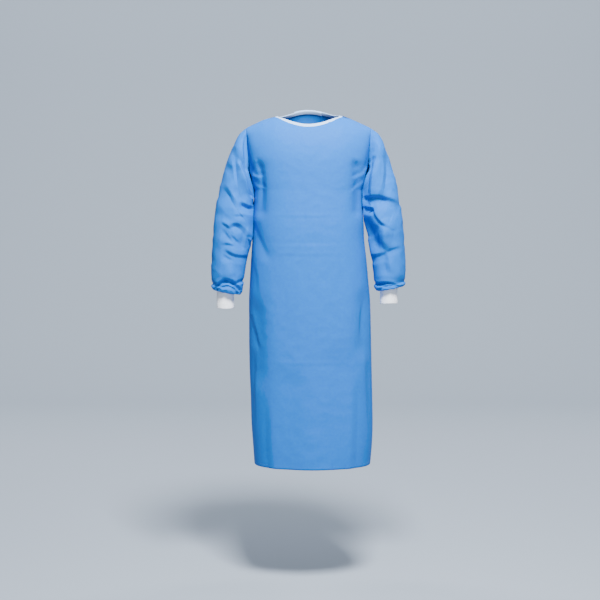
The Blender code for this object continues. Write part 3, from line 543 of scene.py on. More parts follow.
def top_offset(column):
    """Place along the top edge of a column counted from the middle of the neck."""
    away = np.abs(column)
    neck = NECK_HALF * np.sin(np.pi / 2 * np.minimum(away, NECK_COLUMNS) / NECK_COLUMNS)
    past = np.maximum(away - NECK_COLUMNS, 0) / SHOULDER_COLUMNS
    return np.sign(column) * (neck + (SHOULDER_HALF - NECK_HALF) * past)


def front_surface():
    columns = crowded(FRONT_COLUMNS, COLUMNS_FINER, 0.028)
    turns = np.radians(-90 + 180 * columns / FRONT_COLUMNS)
    return panel_surface(lambda height: turns, top_offset(columns - FRONT_COLUMNS / 2), False)


def back_surface(side):
    """A back half. side is 1 on the viewer's right, -1 on the left; both cross the middle."""
    columns = crowded(BACK_COLUMNS, COLUMNS_FINER, 0.032)
    from_middle = BACK_COLUMNS - 2 - columns
    first = top_offset(-1.0)
    past = np.minimum(from_middle + 1, 0)
    offsets = np.where(past < 0, first + (LAP_AT_NECK + first) * past, top_offset(from_middle))

    def angles(height):
        half_width = read_table(BODY_LEVELS, height)[1]
        reach = LAP_AT_HEM + (LAP_AT_NECK - LAP_AT_HEM) * (height - HEM_Z) / (NECK_SIDE_Z - HEM_Z)
        past_middle = np.arcsin((reach / half_width) ** (RING_POWER / 2))
        return side * (np.pi / 2 + (np.pi / 2 + past_middle) * columns / BACK_COLUMNS)

    surface = panel_surface(angles, side * offsets, True)
    return surface if side > 0 else surface[:, ::-1]


def lap_lift(x):
    """How far the over half stands out where it lies on the under half."""
    return LAP_LIFT * smooth((LAP_RAMP_START - x) / (LAP_RAMP_START - LAP_RAMP_END))


# The sleeves' surface

def sleeve_ring(side, table, share):
    """Middle, half axis from the inner to the outer side, half depth and running direction of a ring."""
    outer_x, outer_z, inner_x, inner_z, middle_y, depth = read_table(table, share)
    outer = np.array([side * outer_x, middle_y, outer_z])
    inner = np.array([side * inner_x, middle_y, inner_z])
    axis = (outer - inner) / 2
    run = unit(np.cross(axis, (0, side, 0)))
    return (outer + inner) / 2, axis, depth, run


def beside_body(points, side):
    """A sleeve's points, moved out to where the cloth lies just clear of the body's side."""
    middle, half, front, back = read_table(BODY_LEVELS, points[:, 2])
    share = np.minimum(np.abs(points[:, 1]) / np.where(points[:, 1] > 0, back, front), 1.0)
    reach = half * (1 - share ** RING_POWER) ** (1 / RING_POWER)
    reach = reach + BODY_CLEARANCE * smooth((UNDERARM_Z - points[:, 2]) / CLEARANCE_DROP)
    across = middle + side * np.maximum(side * (points[:, 0] - middle), reach)
    points[:, 0] = np.where(points[:, 2] < UNDERARM_Z, across, points[:, 0])
    return points


def sleeve_surface(side, table, loop, cuff):
    """Rings from the armhole to the wrist, which turn from the armhole's shape to ovals and tuck under."""
    turns = np.pi - 2 * np.pi * np.arange(len(loop)) / len(loop)
    middle, axis, depth, run = sleeve_ring(side, table, 0.0)
    apart = loop - middle
    flats = apart @ axis / (axis @ axis)
    deeps = apart[:, 1] / depth
    prouds = apart @ run
    length = 0.48
    count = round(length / SLEEVE_STEP)
    ends = np.linspace(END_FROM, 1, round((1 - END_FROM) * length / END_STEP) + 1)
    even = np.arange(1, count) / count
    shares = np.unique(np.concatenate([np.array(EDGE_STEPS) / length, even[even < END_FROM - 0.002], ends]))
    rings = [loop]
    for share in shares:
        middle, axis, depth, run = sleeve_ring(side, table, share)
        blend = smooth(share / HEAD_SHARE)
        flat = flats + (np.cos(turns) - flats) * blend
        deep = deeps + (side * np.sin(turns) - deeps) * blend
        proud = prouds * (1 - blend)
        ring = middle + flat[:, None] * axis + deep[:, None] * np.array([0, depth, 0]) + proud[:, None] * run
        rings.append(beside_body(ring, side))
    last = rings[-1]
    middle_x, middle_y, _, _, half_width, half_depth = cuff
    reach = RIB_HEIGHT + CUFF_CLEARANCE
    goal = np.stack([
        middle_x + side * (half_width + reach) * np.cos(turns),
        middle_y + side * (half_depth + reach) * np.sin(turns),
        last[:, 2] + (last[:, 2].mean() - last[:, 2]) * END_LEVELLING,
    ], axis=-1)
    for share in np.arange(1, TURN_STEPS + 1) / TURN_STEPS:
        ring = last + (goal - last) * share
        ring[:, 2] += read_table(TURN_UNDER, share)[0]
        rings.append(ring)
    return np.array(rings)


# Folds and creases

def main_folds(points, normals):
    """How far the main folds draw the cloth in, as in the solids. Long ones start and end softly."""
    total = np.zeros(points.shape[:-1])
    for folds, facing in ((FRONT_FOLDS, normals[..., 1] < 0), (BACK_FOLDS, normals[..., 1] >= 0)):
        for start_x, start_z, end_x, end_z, width, depth in folds:
            run_x = end_x - start_x
            run_z = end_z - start_z
            from_x = points[..., 0] - start_x
            from_z = points[..., 2] - start_z
            share = np.clip((from_x * run_x + from_z * run_z) / (run_x ** 2 + run_z ** 2), 0, 1)
            away = (from_x - share * run_x) ** 2 + (from_z - share * run_z) ** 2
            if np.hypot(run_x, run_z) > LONG_FOLD:
                to_hem = end_z < HEM_Z + 0.001
                depth = depth * smooth(share * 4) * (1.0 if to_hem else smooth((1 - share) * 4))
            total += depth * np.exp(-away / width ** 2) * facing
    return total * smooth(np.abs(normals[..., 1]) * FOLD_FACING)


def crease_line(start, bend, end):
    """Points along a curve from start to end through the bend."""
    start, bend, end = (np.array(point) for point in (start, bend, end))
    pull = 2 * bend - (start + end) / 2
    share = np.linspace(0, 1, CREASE_STEPS + 1)[:, None]
    return (1 - share) ** 2 * start + 2 * share * (1 - share) * pull + share ** 2 * end


def away_from_line(line, across, up):
    """Distance of points from a line of short runs, above 0 on its right, and the share of the line beside."""
    nearest = np.full(across.shape, 1e9)
    side = np.ones(across.shape)
    beside = np.zeros(across.shape)
    for i, (start, end) in enumerate(zip(line, line[1:])):
        run = end - start
        from_start = (across - start[0], up - start[1])
        share = np.clip((from_start[0] * run[0] + from_start[1] * run[1]) / (run @ run), 0, 1)
        away = np.hypot(from_start[0] - share * run[0], from_start[1] - share * run[1])
        closer = away < nearest
        nearest[closer] = away[closer]
        side[closer] = np.sign(run[1] * from_start[0] - run[0] * from_start[1])[closer]
        beside[closer] = ((i + share) / CREASE_STEPS)[closer]
    return nearest * side, beside


def fold_profile(away, width, steep):
    """Depth across a crease: a slope down to 1, a steep rise to a ridge beyond, and a slope back."""
    places = np.array([-1.0, 0.0, steep, steep + 0.9]) * width
    shifts = (-CREASE_ROUNDING, 0.0, CREASE_ROUNDING)
    return sum(np.interp(away + shift, places, (0.0, 1.0, -RIDGE_SHARE, 0.0)) for shift in shifts) / len(shifts)


def crease_depth(points, normals, rows):
    """How far a table of creases draws the cloth in."""
    total = np.zeros(points.shape[:-1])
    for side, x1, z1, x2, z2, x3, z3, width, steep, depth, at_start, at_end in rows:
        lengthways = side in ("front", "back")
        facing = normals[..., 1 if lengthways else 0] * (-1 if side in ("front", "left") else 1)
        across = points[..., 0 if lengthways else 1]
        up = points[..., 2]
        line = crease_line((x1, z1), (x2, z2), (x3, z3))
        low = line.min(axis=0) - 2 * width
        high = line.max(axis=0) + 2 * width
        near = (facing > 0) & (across > low[0]) & (across < high[0]) & (up > low[1]) & (up < high[1])
        if not near.any():
            continue
        away, beside = away_from_line(line, across[near], up[near])
        start_fade = at_start + (1 - at_start) * smooth(beside * 2.5)
        end_fade = at_end + (1 - at_end) * smooth((1 - beside) * 2.5)
        fold = depth * fold_profile(away, width, steep) * start_fade * end_fade
        total[near] += fold * smooth(facing[near] * CREASE_FACING)
    return total


def gather_depth(points, cuff):
    """How far the gathers draw the sleeve end in."""
    turn = np.degrees(np.arctan2(points[..., 1] - cuff[1], points[..., 0] - cuff[0]))
    total = np.zeros(points.shape[:-1])
    for middle, half, depth in GATHERS:
        apart = (turn - middle + 180) % 360 - 180
        total += depth * np.exp(-((apart / half) ** 2))
    rows = np.linspace(0, 1, len(points))[:, None]
    return total * smooth((rows - GATHER_FROM) / (1 - GATHER_FROM) * 2) * smooth((1 - rows) * 30)


def crumple(points):
    """Faint ridges of pressed cloth that was folded and worn, about 1 on a ridge and below 0 beside it."""
    flat = points.reshape(-1, 3) / CRUMPLE_SIZE
    value = np.array([noise.noise(Vector(point)) for point in flat])
    return (1 - 4 * np.abs(value)).reshape(points.shape[:-1])


def lengths_along(points, axis):
    """Mean distance run along rows (axis 1) or columns (axis 0) of a grid, from 0."""
    steps = np.linalg.norm(np.diff(points, axis=axis), axis=-1).mean(axis=1 - axis)
    return np.concatenate([[0], np.cumsum(steps)])


def seam_dip(points, closed):
    """Every seam lies a little below the cloth beside it."""
    down = lengths_along(points, 0)[:, None]
    if closed:
        return SEAM_DIP * np.exp(-((down / SEAM_DIP_WIDTH) ** 2)) + np.zeros(points.shape[:-1])
    across = lengths_along(points, 1)[None, :]
    nearest = np.minimum(across, across[:, -1:] - across) + np.zeros(points.shape[:-1])
    shoulder = np.abs(points[-1, :, 0] - CHEST_SHIFT) >= NECK_HALF - 1e-6
    nearest[:, shoulder] = np.minimum(nearest, down[-1] - down)[:, shoulder]
    return SEAM_DIP * np.exp(-((nearest / SEAM_DIP_WIDTH) ** 2))


def under_tie(points):
    """1 where the tie holds the cloth of the back flat, and 0 from a little beside it."""
    across = smooth((TIE_END + 2 * TIE_EASE - np.abs(points[..., 0])) / TIE_EASE)
    up = smooth((TIE_WIDTH / 2 + 2 * TIE_EASE - np.abs(points[..., 2] - TIE_Z)) / TIE_EASE)
    return across * up * (points[..., 1] > 0)


# The whole cloth

def grid_faces(rows, columns, closed):
    i, j = np.meshgrid(np.arange(rows - 1), np.arange(columns if closed else columns - 1), indexing="ij")
    k = (j + 1) % columns
    corners = [i * columns + j, i * columns + k, (i + 1) * columns + k, (i + 1) * columns + j]
    return np.stack(corners, axis=-1).reshape(-1, 4)


def joined_normals(grids):
    """One normal for each point of the whole cloth, shared by the pieces that meet there."""
    points = np.concatenate([rows.reshape(-1, 3) for rows, _ in grids.values()])
    keys = np.round(points * 1e6).astype(np.int64)
    _, joined = np.unique(keys, axis=0, return_inverse=True)
    joined = joined.reshape(-1)
    normals = np.zeros((joined.max() + 1, 3))
    start = 0
    for rows, closed in grids.values():
        faces = grid_faces(*rows.shape[:2], closed) + start
        a, b, c, d = (points[faces[:, n]] for n in range(4))
        facing = np.cross(c - a, d - b)
        for n in range(4):
            np.add.at(normals, joined[faces[:, n]], facing)
        start += rows.shape[0] * rows.shape[1]
    normals = unit(normals)[joined]
    result = {}
    start = 0
    for name, (rows, _) in grids.items():
        count = rows.shape[0] * rows.shape[1]
        result[name] = normals[start:start + count].reshape(rows.shape)
        start += count
    return result


def flat_grids():
    """The five cloth pieces without folds, which share their points at the seams."""
    front = front_surface()
    right = back_surface(1)
    left = back_surface(-1)
    side_rows = len(skirt_places()) + 1
    right[:side_rows, 0] = front[:side_rows, -1]
    left[:side_rows, -1] = front[:side_rows, 0]
    above = slice(side_rows - 1, None)
    loops = []
    for first, second in ((front[above, 0], left[above, -1]), (right[above, 0], front[above, -1])):
        second = second.copy()
        loops.append(np.concatenate([first, second[1:-1][::-1]]))
    front[-1, 0] = left[-1, -1] = loops[0][len(front[above]) - 1]
    right[-1, 0] = front[-1, -1] = loops[1][len(front[above]) - 1]
    return {
        "front_panel": (front, False),
        "back_panel_left": (left, False),
        "back_panel_right": (right, False),
        "sleeve_left": (sleeve_surface(-1, SLEEVE_LEFT, loops[0], CUFF_LEFT), True),
        "sleeve_right": (sleeve_surface(1, SLEEVE_RIGHT, loops[1], CUFF_RIGHT), True),
    }


@lru_cache(maxsize=None)
def worn_cloth(crease_strength):
    """The cloth pieces with all their folds: points, normals and unfolded points of each."""
    grids = flat_grids()
    normals = joined_normals(grids)
    worn = {}
    for name, (points, closed) in grids.items():
        facing = normals[name]
        side = {"sleeve_left": -1, "sleeve_right": 1}.get(name, 0)
        inwards = main_folds(points, facing) + seam_dip(points, closed)
        creases = crease_depth(points, facing, SLEEVE_CREASES if side else BODY_CREASES + PRESS_LINES)
        if side:
            cuff = CUFF_LEFT if side < 0 else CUFF_RIGHT
            open_side = smooth((facing[..., 0] * side + 0.85) / 0.5)
            creases += gather_depth(points, cuff)
            creases -= SLEEVE_CRUMPLE * crumple(points) * open_side * smooth(
                np.linspace(0, 1, len(points))[:, None] * 12
            )
            tucked = np.ones(len(points))
            tucked[-TURN_STEPS:] = 1 - smooth(np.arange(1, TURN_STEPS + 1) / TURN_STEPS)
            creases *= tucked[:, None]
            inwards *= tucked[:, None]
        else:
            side_seam = smooth(1 - np.abs(facing[..., 0]) * 0.9)
            creases -= BODY_CRUMPLE * crumple(points) * side_seam
            creases += (np.maximum(creases, 0) - creases) * under_tie(points)
        move = inwards + crease_strength * creases
        if name == "back_panel_right":
            move = move - lap_lift(points[..., 0])
        worn[name] = (points - facing * move[..., None], closed)
    worn_normals = joined_normals(worn)
    return {name: (worn[name][0], worn_normals[name], grids[name][0]) for name in grids}


# Making meshes

def linear(code):
    """An sRGB hex colour as linear red, green, blue and alpha."""
    values = [int(code[i:i + 2], 16) / 255 for i in (1, 3, 5)]
    return [v / 12.92 if v <= 0.04045 else ((v + 0.055) / 1.055) ** 2.4 for v in values] + [1.0]


def add_piece(name, points, faces, corners, material):
    """A mesh object from points, faces and a UV pair in metres for each corner of each face."""
    mesh = bpy.data.meshes.new(name)
    mesh.from_pydata(np.asarray(points).tolist(), [], [list(map(int, face)) for face in faces])
    layer = mesh.uv_layers.new(name="along_cloth")
    layer.data.foreach_set("uv", np.asarray(corners, dtype=float).ravel())
    mesh.materials.append(material)
    mesh.shade_smooth()
    piece = bpy.data.objects.new(name, mesh)
    bpy.context.scene.collection.objects.link(piece)
    return piece


def grid_piece(name, points, closed, material, lie=None, closed_rows=False):
    """A piece from a grid, with its UV map measured along the cloth."""
    lie = points if lie is None else lie
    if closed:
        lie = np.concatenate([lie, lie[:, :1]], axis=1)
    if closed_rows:
        lie = np.concatenate([lie, lie[:1]], axis=0)
    across = lengths_along(lie, 1)
    up = lengths_along(lie, 0)
    rows, columns = points.shape[:2]
    i, j = np.meshgrid(np.arange(len(up) - 1), np.arange(len(across) - 1), indexing="ij")
    low, high = i * columns, (i + 1) % rows * columns
    right = (j + 1) % columns
    faces = np.stack([low + j, low + right, high + right, high + j], axis=-1).reshape(-1, 4)
    u = np.stack([across[j], across[j + 1], across[j + 1], across[j]], axis=-1)
    v = np.stack([up[i], up[i], up[i + 1], up[i + 1]], axis=-1)
    return add_piece(name, points.reshape(-1, 3), faces, np.stack([u, v], axis=-1).reshape(-1, 2), material)


def apply_modifier(piece, kind, **settings):
    bpy.ops.object.select_all(action="DESELECT")
    piece.select_set(True)
    bpy.context.view_layer.objects.active = piece
    modifier = piece.modifiers.new(kind.title(), kind)
    for name, value in settings.items():
        setattr(modifier, name, value)
    bpy.ops.object.modifier_apply(modifier=modifier.name)


def dress(piece, slot, *nodes):
    """The piece rides with the gown, and stands for these solids."""
    missing = [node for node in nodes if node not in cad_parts]
    if missing:
        raise RuntimeError(f"no solid is named {missing}")
    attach(piece, "root")
    if nodes:
        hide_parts(*nodes)


# Materials

def add_node(tree, kind, settings=None, links=None):
    """A node with its settings and input values, and links from other nodes' outputs."""
    node = tree.nodes.new(kind)
    for name, value in (settings or {}).items():
        if name in node.inputs:
            node.inputs[name].default_value = value
        else:
            setattr(node, name, value)
    for name, source in (links or {}).items():
        tree.links.new(source, node.inputs[name])
    return node


def new_material(name, colour, **values):
    material = bpy.data.materials.new(name)
    material.use_nodes = True
    shader = material.node_tree.nodes["Principled BSDF"]
    shader.inputs["Base Color"].default_value = linear(colour)
    for key, value in values.items():
        shader.inputs[key.replace("_", " ").capitalize()].default_value = value
    return material, material.node_tree, shader


def sms_nonwoven(settings):
    """Spunbond, meltblown and spunbond polypropylene, pressed together through an engraved roller.

    The eye sees a matt, papery cloth: faint clouds of denser fibre, bond dots and a faint gloss, without sheen.
    """
    material, tree, shader = new_material("sms_nonwoven_polypropylene", settings.colour)
    shader.inputs["Roughness"].default_value = settings.roughness
    shader.inputs["Sheen Weight"].default_value = 0.0
    shader.inputs["Sheen Roughness"].default_value = 0.45
    shader.inputs["Specular IOR Level"].default_value = 0.08
    shader.inputs["IOR"].default_value = 1.49
    place = add_node(tree, "ShaderNodeTexCoord").outputs["UV"]
    # Clouds of fibre are 9 mm across, and single loose fibres about 1 mm; UV is in metres
    cloud = add_node(tree, "ShaderNodeTexNoise", {"Scale": 1 / 0.009, "Detail": 4.0}, {"Vector": place})
    fibre = add_node(tree, "ShaderNodeTexNoise", {"Scale": 1 / 0.0011, "Detail": 2.0}, {"Vector": place})
    shade = add_node(
        tree, "ShaderNodeMapRange",
        {"From Min": 0.3, "From Max": 0.7, "To Min": 0.0, "To Max": 1.0},
        {"Value": cloud.outputs["Fac"]},
    )
    colour = add_node(
        tree, "ShaderNodeMix",
        {"data_type": "RGBA"},
        {"Factor": shade.outputs["Result"]},
    )
    colour.inputs[6].default_value = linear(settings.thin_colour)
    colour.inputs[7].default_value = linear(settings.colour)
    tree.links.new(colour.outputs[2], shader.inputs["Base Color"])
    # Bond dots are 0.8 mm wide and stand 2 mm apart in rows turned by 45 degrees
    turned = add_node(
        tree, "ShaderNodeMapping",
        {"Rotation": (0, 0, math.radians(45)), "Scale": (1 / settings.bond_pitch, 1 / settings.bond_pitch, 1)},
        {"Vector": place},
    )
    dots = add_node(
        tree, "ShaderNodeTexVoronoi",
        {"Scale": 1.0, "Randomness": 0.0, "voronoi_dimensions": "2D"},
        {"Vector": turned.outputs["Vector"]},
    )
    pressed = add_node(
        tree, "ShaderNodeMapRange",
        {"From Min": 0.12, "From Max": 0.28, "To Min": 0.0, "To Max": 1.0},
        {"Value": dots.outputs["Distance"]},
    )
    bond_bump = add_node(
        tree, "ShaderNodeBump", {"Strength": 0.35, "Distance": 0.00006}, {"Height": pressed.outputs["Result"]}
    )
    fibre_bump = add_node(
        tree, "ShaderNodeBump",
        {"Strength": 0.3, "Distance": 0.00008},
        {"Height": fibre.outputs["Fac"], "Normal": bond_bump.outputs["Normal"]},
    )
    # Soft waves 24 mm across stand for the slack between the bonded layers
    slack = add_node(tree, "ShaderNodeTexNoise", {"Scale": 1 / 0.024, "Detail": 3.0}, {"Vector": place})
    slack_bump = add_node(
        tree, "ShaderNodeBump",
        {"Strength": 0.4, "Distance": 0.0008},
        {"Height": slack.outputs["Fac"], "Normal": fibre_bump.outputs["Normal"]},
    )
    tree.links.new(slack_bump.outputs["Normal"], shader.inputs["Normal"])
    return material


def rib_knit(settings):
    """Polyester and cotton rib knit: columns of stitches, soft and quite matt."""
    material, tree, shader = new_material("polycotton_rib_knit", settings.colour)
    shader.inputs["Roughness"].default_value = 0.92
    shader.inputs["Sheen Weight"].default_value = 0.25
    shader.inputs["Sheen Roughness"].default_value = 0.6
    shader.inputs["Specular IOR Level"].default_value = 0.25
    place = add_node(tree, "ShaderNodeTexCoord").outputs["UV"]
    # A stitch is 1.1 mm wide and 0.9 mm high, and leans one way and then the other
    stitches = add_node(
        tree, "ShaderNodeTexWave",
        {"Scale": 1 / 0.0009 / 6.283, "Distortion": 1.2, "Detail": 1.0, "Detail Scale": 2.0,
         "wave_type": "BANDS", "bands_direction": "Y"},
        {"Vector": place},
    )
    fuzz = add_node(tree, "ShaderNodeTexNoise", {"Scale": 1 / 0.0012, "Detail": 3.0}, {"Vector": place})
    stitch_bump = add_node(
        tree, "ShaderNodeBump", {"Strength": 0.6, "Distance": 0.0002}, {"Height": stitches.outputs["Fac"]}
    )
    fuzz_bump = add_node(
        tree, "ShaderNodeBump",
        {"Strength": 0.5, "Distance": 0.0002},
        {"Height": fuzz.outputs["Fac"], "Normal": stitch_bump.outputs["Normal"]},
    )
    tree.links.new(fuzz_bump.outputs["Normal"], shader.inputs["Normal"])
    mottle = add_node(tree, "ShaderNodeTexNoise", {"Scale": 1 / 0.006, "Detail": 3.0}, {"Vector": place})
    colour = add_node(tree, "ShaderNodeMix", {"data_type": "RGBA"}, {"Factor": mottle.outputs["Fac"]})
    colour.inputs[6].default_value = linear(settings.shade_colour)
    colour.inputs[7].default_value = linear(settings.colour)
    tree.links.new(colour.outputs[2], shader.inputs["Base Color"])
    return material


def folded_tape(settings):
    """Thin white spunbond tape folded over the neck edge: pale, with the blue cloth showing through."""
    material, tree, shader = new_material("folded_spunbond_tape", settings.colour)
    shader.inputs["Roughness"].default_value = 0.7
    shader.inputs["Sheen Weight"].default_value = 0.15
    shader.inputs["Specular IOR Level"].default_value = 0.35
    place = add_node(tree, "ShaderNodeTexCoord").outputs["UV"]
    apart = add_node(tree, "ShaderNodeSeparateXYZ", None, {"Vector": place})
    # The first 12 mm across the tape lie inside the neck, the rest outside
    edge = add_node(
        tree, "ShaderNodeMapRange",
        {"From Min": 0.0115, "From Max": 0.0130, "To Min": 1.0, "To Max": 0.0},
        {"Value": apart.outputs["Y"]},
    )
    colour = add_node(tree, "ShaderNodeMix", {"data_type": "RGBA"}, {"Factor": edge.outputs["Result"]})
    colour.inputs[6].default_value = linear(settings.colour)
    colour.inputs[7].default_value = linear(settings.inner_colour)
    tree.links.new(colour.outputs[2], shader.inputs["Base Color"])
    fibre = add_node(tree, "ShaderNodeTexNoise", {"Scale": 1 / 0.0012, "Detail": 2.0}, {"Vector": place})
    bump = add_node(tree, "ShaderNodeBump", {"Strength": 0.5, "Distance": 0.0002}, {"Height": fibre.outputs["Fac"]})
    tree.links.new(bump.outputs["Normal"], shader.inputs["Normal"])
    return material


def spun_thread(name, colour):
    """Spun polyester sewing thread: smoother than the cloth, with the light running along its twist."""
    material, tree, shader = new_material(name, colour)
    shader.inputs["Roughness"].default_value = 0.55
    shader.inputs["Sheen Weight"].default_value = 0.2
    place = add_node(tree, "ShaderNodeTexCoord").outputs["UV"]
    twist = add_node(
        tree, "ShaderNodeTexWave", {"Scale": 1 / 0.0005 / 6.283, "bands_direction": "DIAGONAL"}, {"Vector": place}
    )
    bump = add_node(tree, "ShaderNodeBump", {"Strength": 0.5, "Distance": 0.00005}, {"Height": twist.outputs["Fac"]})
    tree.links.new(bump.outputs["Normal"], shader.inputs["Normal"])
    return material


def studio_paper(colour):
    """Matt seamless background paper, rolled down a wall and over the floor."""
    material, tree, shader = new_material("seamless_background_paper", colour)
    shader.inputs["Roughness"].default_value = 0.9
    shader.inputs["Specular IOR Level"].default_value = 0.2
    place = add_node(tree, "ShaderNodeTexCoord").outputs["Object"]
    grain = add_node(tree, "ShaderNodeTexNoise", {"Scale": 3.0, "Detail": 2.0}, {"Vector": place})
    bump = add_node(tree, "ShaderNodeBump", {"Strength": 0.05, "Distance": 0.01}, {"Height": grain.outputs["Fac"]})
    tree.links.new(bump.outputs["Normal"], shader.inputs["Normal"])
    return material


# Sewing

def resample(points, normals, pitch):
    """Places at an even pitch along a path, with the way along it and the way out of the cloth."""
    steps = np.linalg.norm(np.diff(points, axis=0), axis=-1)
    run = np.concatenate([[0], np.cumsum(steps)])
    at = np.arange(pitch / 2, run[-1], pitch)
    places = np.stack([np.interp(at, run, points[:, n]) for n in range(3)], axis=-1)
    out = unit(np.stack([np.interp(at, run, normals[:, n]) for n in range(3)], axis=-1))
    ahead = np.stack([np.interp(at + pitch / 4, run, points[:, n]) for n in range(3)], axis=-1)
    behind = np.stack([np.interp(at - pitch / 4, run, points[:, n]) for n in range(3)], axis=-1)
    along = unit(ahead - behind)
    along = unit(along - out * np.sum(along * out, axis=-1, keepdims=True))
    return places, along, out


def model_stitch(length, thread):
    """One stitch, modelled once: a short thread whose tapered ends go down into the cloth."""
    bpy.ops.object.select_all(action="DESELECT")
    bpy.ops.mesh.primitive_cylinder_add(
        vertices=6, radius=thread / 2, depth=length * 0.6, rotation=(0, math.radians(90), 0)
    )
    stitch = bpy.context.object
    bpy.ops.object.transform_apply(location=False, rotation=True, scale=False)
    for side in (-1, 1):
        bpy.ops.object.mode_set(mode="EDIT")
        bpy.ops.mesh.select_all(action="DESELECT")
        bpy.ops.object.mode_set(mode="OBJECT")
        for face in stitch.data.polygons:
            face.select = face.normal.x * side > 0.9
        bpy.ops.object.mode_set(mode="EDIT")
        bpy.ops.mesh.extrude_region_move(
            TRANSFORM_OT_translate={"value": (side * length * 0.2, 0, -thread * 0.7)}
        )
        bpy.ops.transform.resize(value=(0.6, 0.6, 0.6))
        bpy.ops.object.mode_set(mode="OBJECT")
    points = np.array([vert.co[:] for vert in stitch.data.vertices])
    faces = [list(face.vertices) for face in stitch.data.polygons]
    mesh = stitch.data
    bpy.data.objects.remove(stitch)
    bpy.data.meshes.remove(mesh)
    return points, faces


def sew(name, rows, length, thread, pitch, material, across=False):
    """Copies of one stitch along paths on the cloth, as one piece."""
    shape, stitch_faces = model_stitch(length, thread)
    points, faces, corners = [], [], []
    for path, normals in rows:
        for place, along, out in zip(*resample(path, normals, pitch)):
            beside = np.cross(out, along)
            first, second = (beside, -along) if across else (along, beside)
            start = len(points) * len(shape)
            points.append(place + shape @ np.stack([first, second, out]) + out * thread * 0.25)
            for face in stitch_faces:
                faces.append([start + n for n in face])
                corners.extend((shape[n, 0], shape[n, 1]) for n in face)
    piece = add_piece(name, np.concatenate(points), faces, corners, material)
    return piece


# Settings

class GownClothSettings(bpy.types.PropertyGroup):
    """The pressed cloth"""
    thickness: bpy.props.FloatProperty(
        name="Thickness", description="Thickness of the cloth", default=0.0005, unit="LENGTH", precision=5
    )
    crease_strength: bpy.props.FloatProperty(
        name="Creases", description="Strength of the fine creases", default=1.4, min=0.0, max=2.0, subtype="FACTOR"
    )
    colour: bpy.props.StringProperty(name="Colour", description="Colour as sRGB hex", default="#0562BE")
    thin_colour: bpy.props.StringProperty(
        name="Thin places", description="Colour where the fibres lie thinner", default="#0D69BF"
    )
    roughness: bpy.props.FloatProperty(
        name="Roughness", description="Roughness of the surface", default=0.62, min=0.0, max=1.0, subtype="FACTOR"
    )
    bond_pitch: bpy.props.FloatProperty(
        name="Bond dots", description="Distance between bond dots", default=0.002, unit="LENGTH", precision=4
    )


class GownKnitSettings(bpy.types.PropertyGroup):
    """The knit cuffs"""
    ribs: bpy.props.IntProperty(name="Ribs", description="Ribs round each cuff", default=54, min=12, max=90)
    wall: bpy.props.FloatProperty(
        name="Thickness", description="Thickness of the knit", default=0.0018, unit="LENGTH", precision=4
    )
    colour: bpy.props.StringProperty(name="Colour", description="Colour as sRGB hex", default="#F6F7FB")
    shade_colour: bpy.props.StringProperty(
        name="Between stitches", description="Colour between the stitches", default="#E6EAF2"
    )


class GownSewingSettings(bpy.types.PropertyGroup):
    """Binding and thread"""
    colour: bpy.props.StringProperty(name="Binding", description="Colour of the binding", default="#A5C6F0")
    inner_colour: bpy.props.StringProperty(
        name="Binding inside", description="Colour of the binding's inner half", default="#A9C6EA"
    )
    stitch: bpy.props.FloatProperty(
        name="Stitch", description="Length of a stitch", default=0.0026, unit="LENGTH", precision=4
    )
    thread: bpy.props.FloatProperty(
        name="Thread", description="Thickness of the thread", default=0.0004, unit="LENGTH", precision=4
    )
    thread_colour: bpy.props.StringProperty(name="Thread", description="Colour of the thread", default="#2F74C4")
    pale_thread: bpy.props.StringProperty(
        name="Binding's thread", description="Colour of the binding's thread", default="#C3D2EA"
    )


class GownStageSettings(bpy.types.PropertyGroup):
    """Floor, backdrop and light"""
    floor_z: bpy.props.FloatProperty(
        name="Floor", description="Height of the floor", default=-1.53, unit="LENGTH"
    )
    paper_colour: bpy.props.StringProperty(name="Paper", description="Colour of the paper", default="#95A0AE")
    key_power: bpy.props.FloatProperty(
        name="Key light", description="Power of the key light", default=465.0, unit="POWER"
    )
    fill_power: bpy.props.FloatProperty(name="Fill light", description="Power of the low fill", default=34.0, unit="POWER")
    paper_power: bpy.props.FloatProperty(name="Paper lights", description="Power of each", default=225.0, unit="POWER")
    air: bpy.props.FloatProperty(name="Room light", description="Strength of the room's light", default=0.28, min=0.0)


# Operators

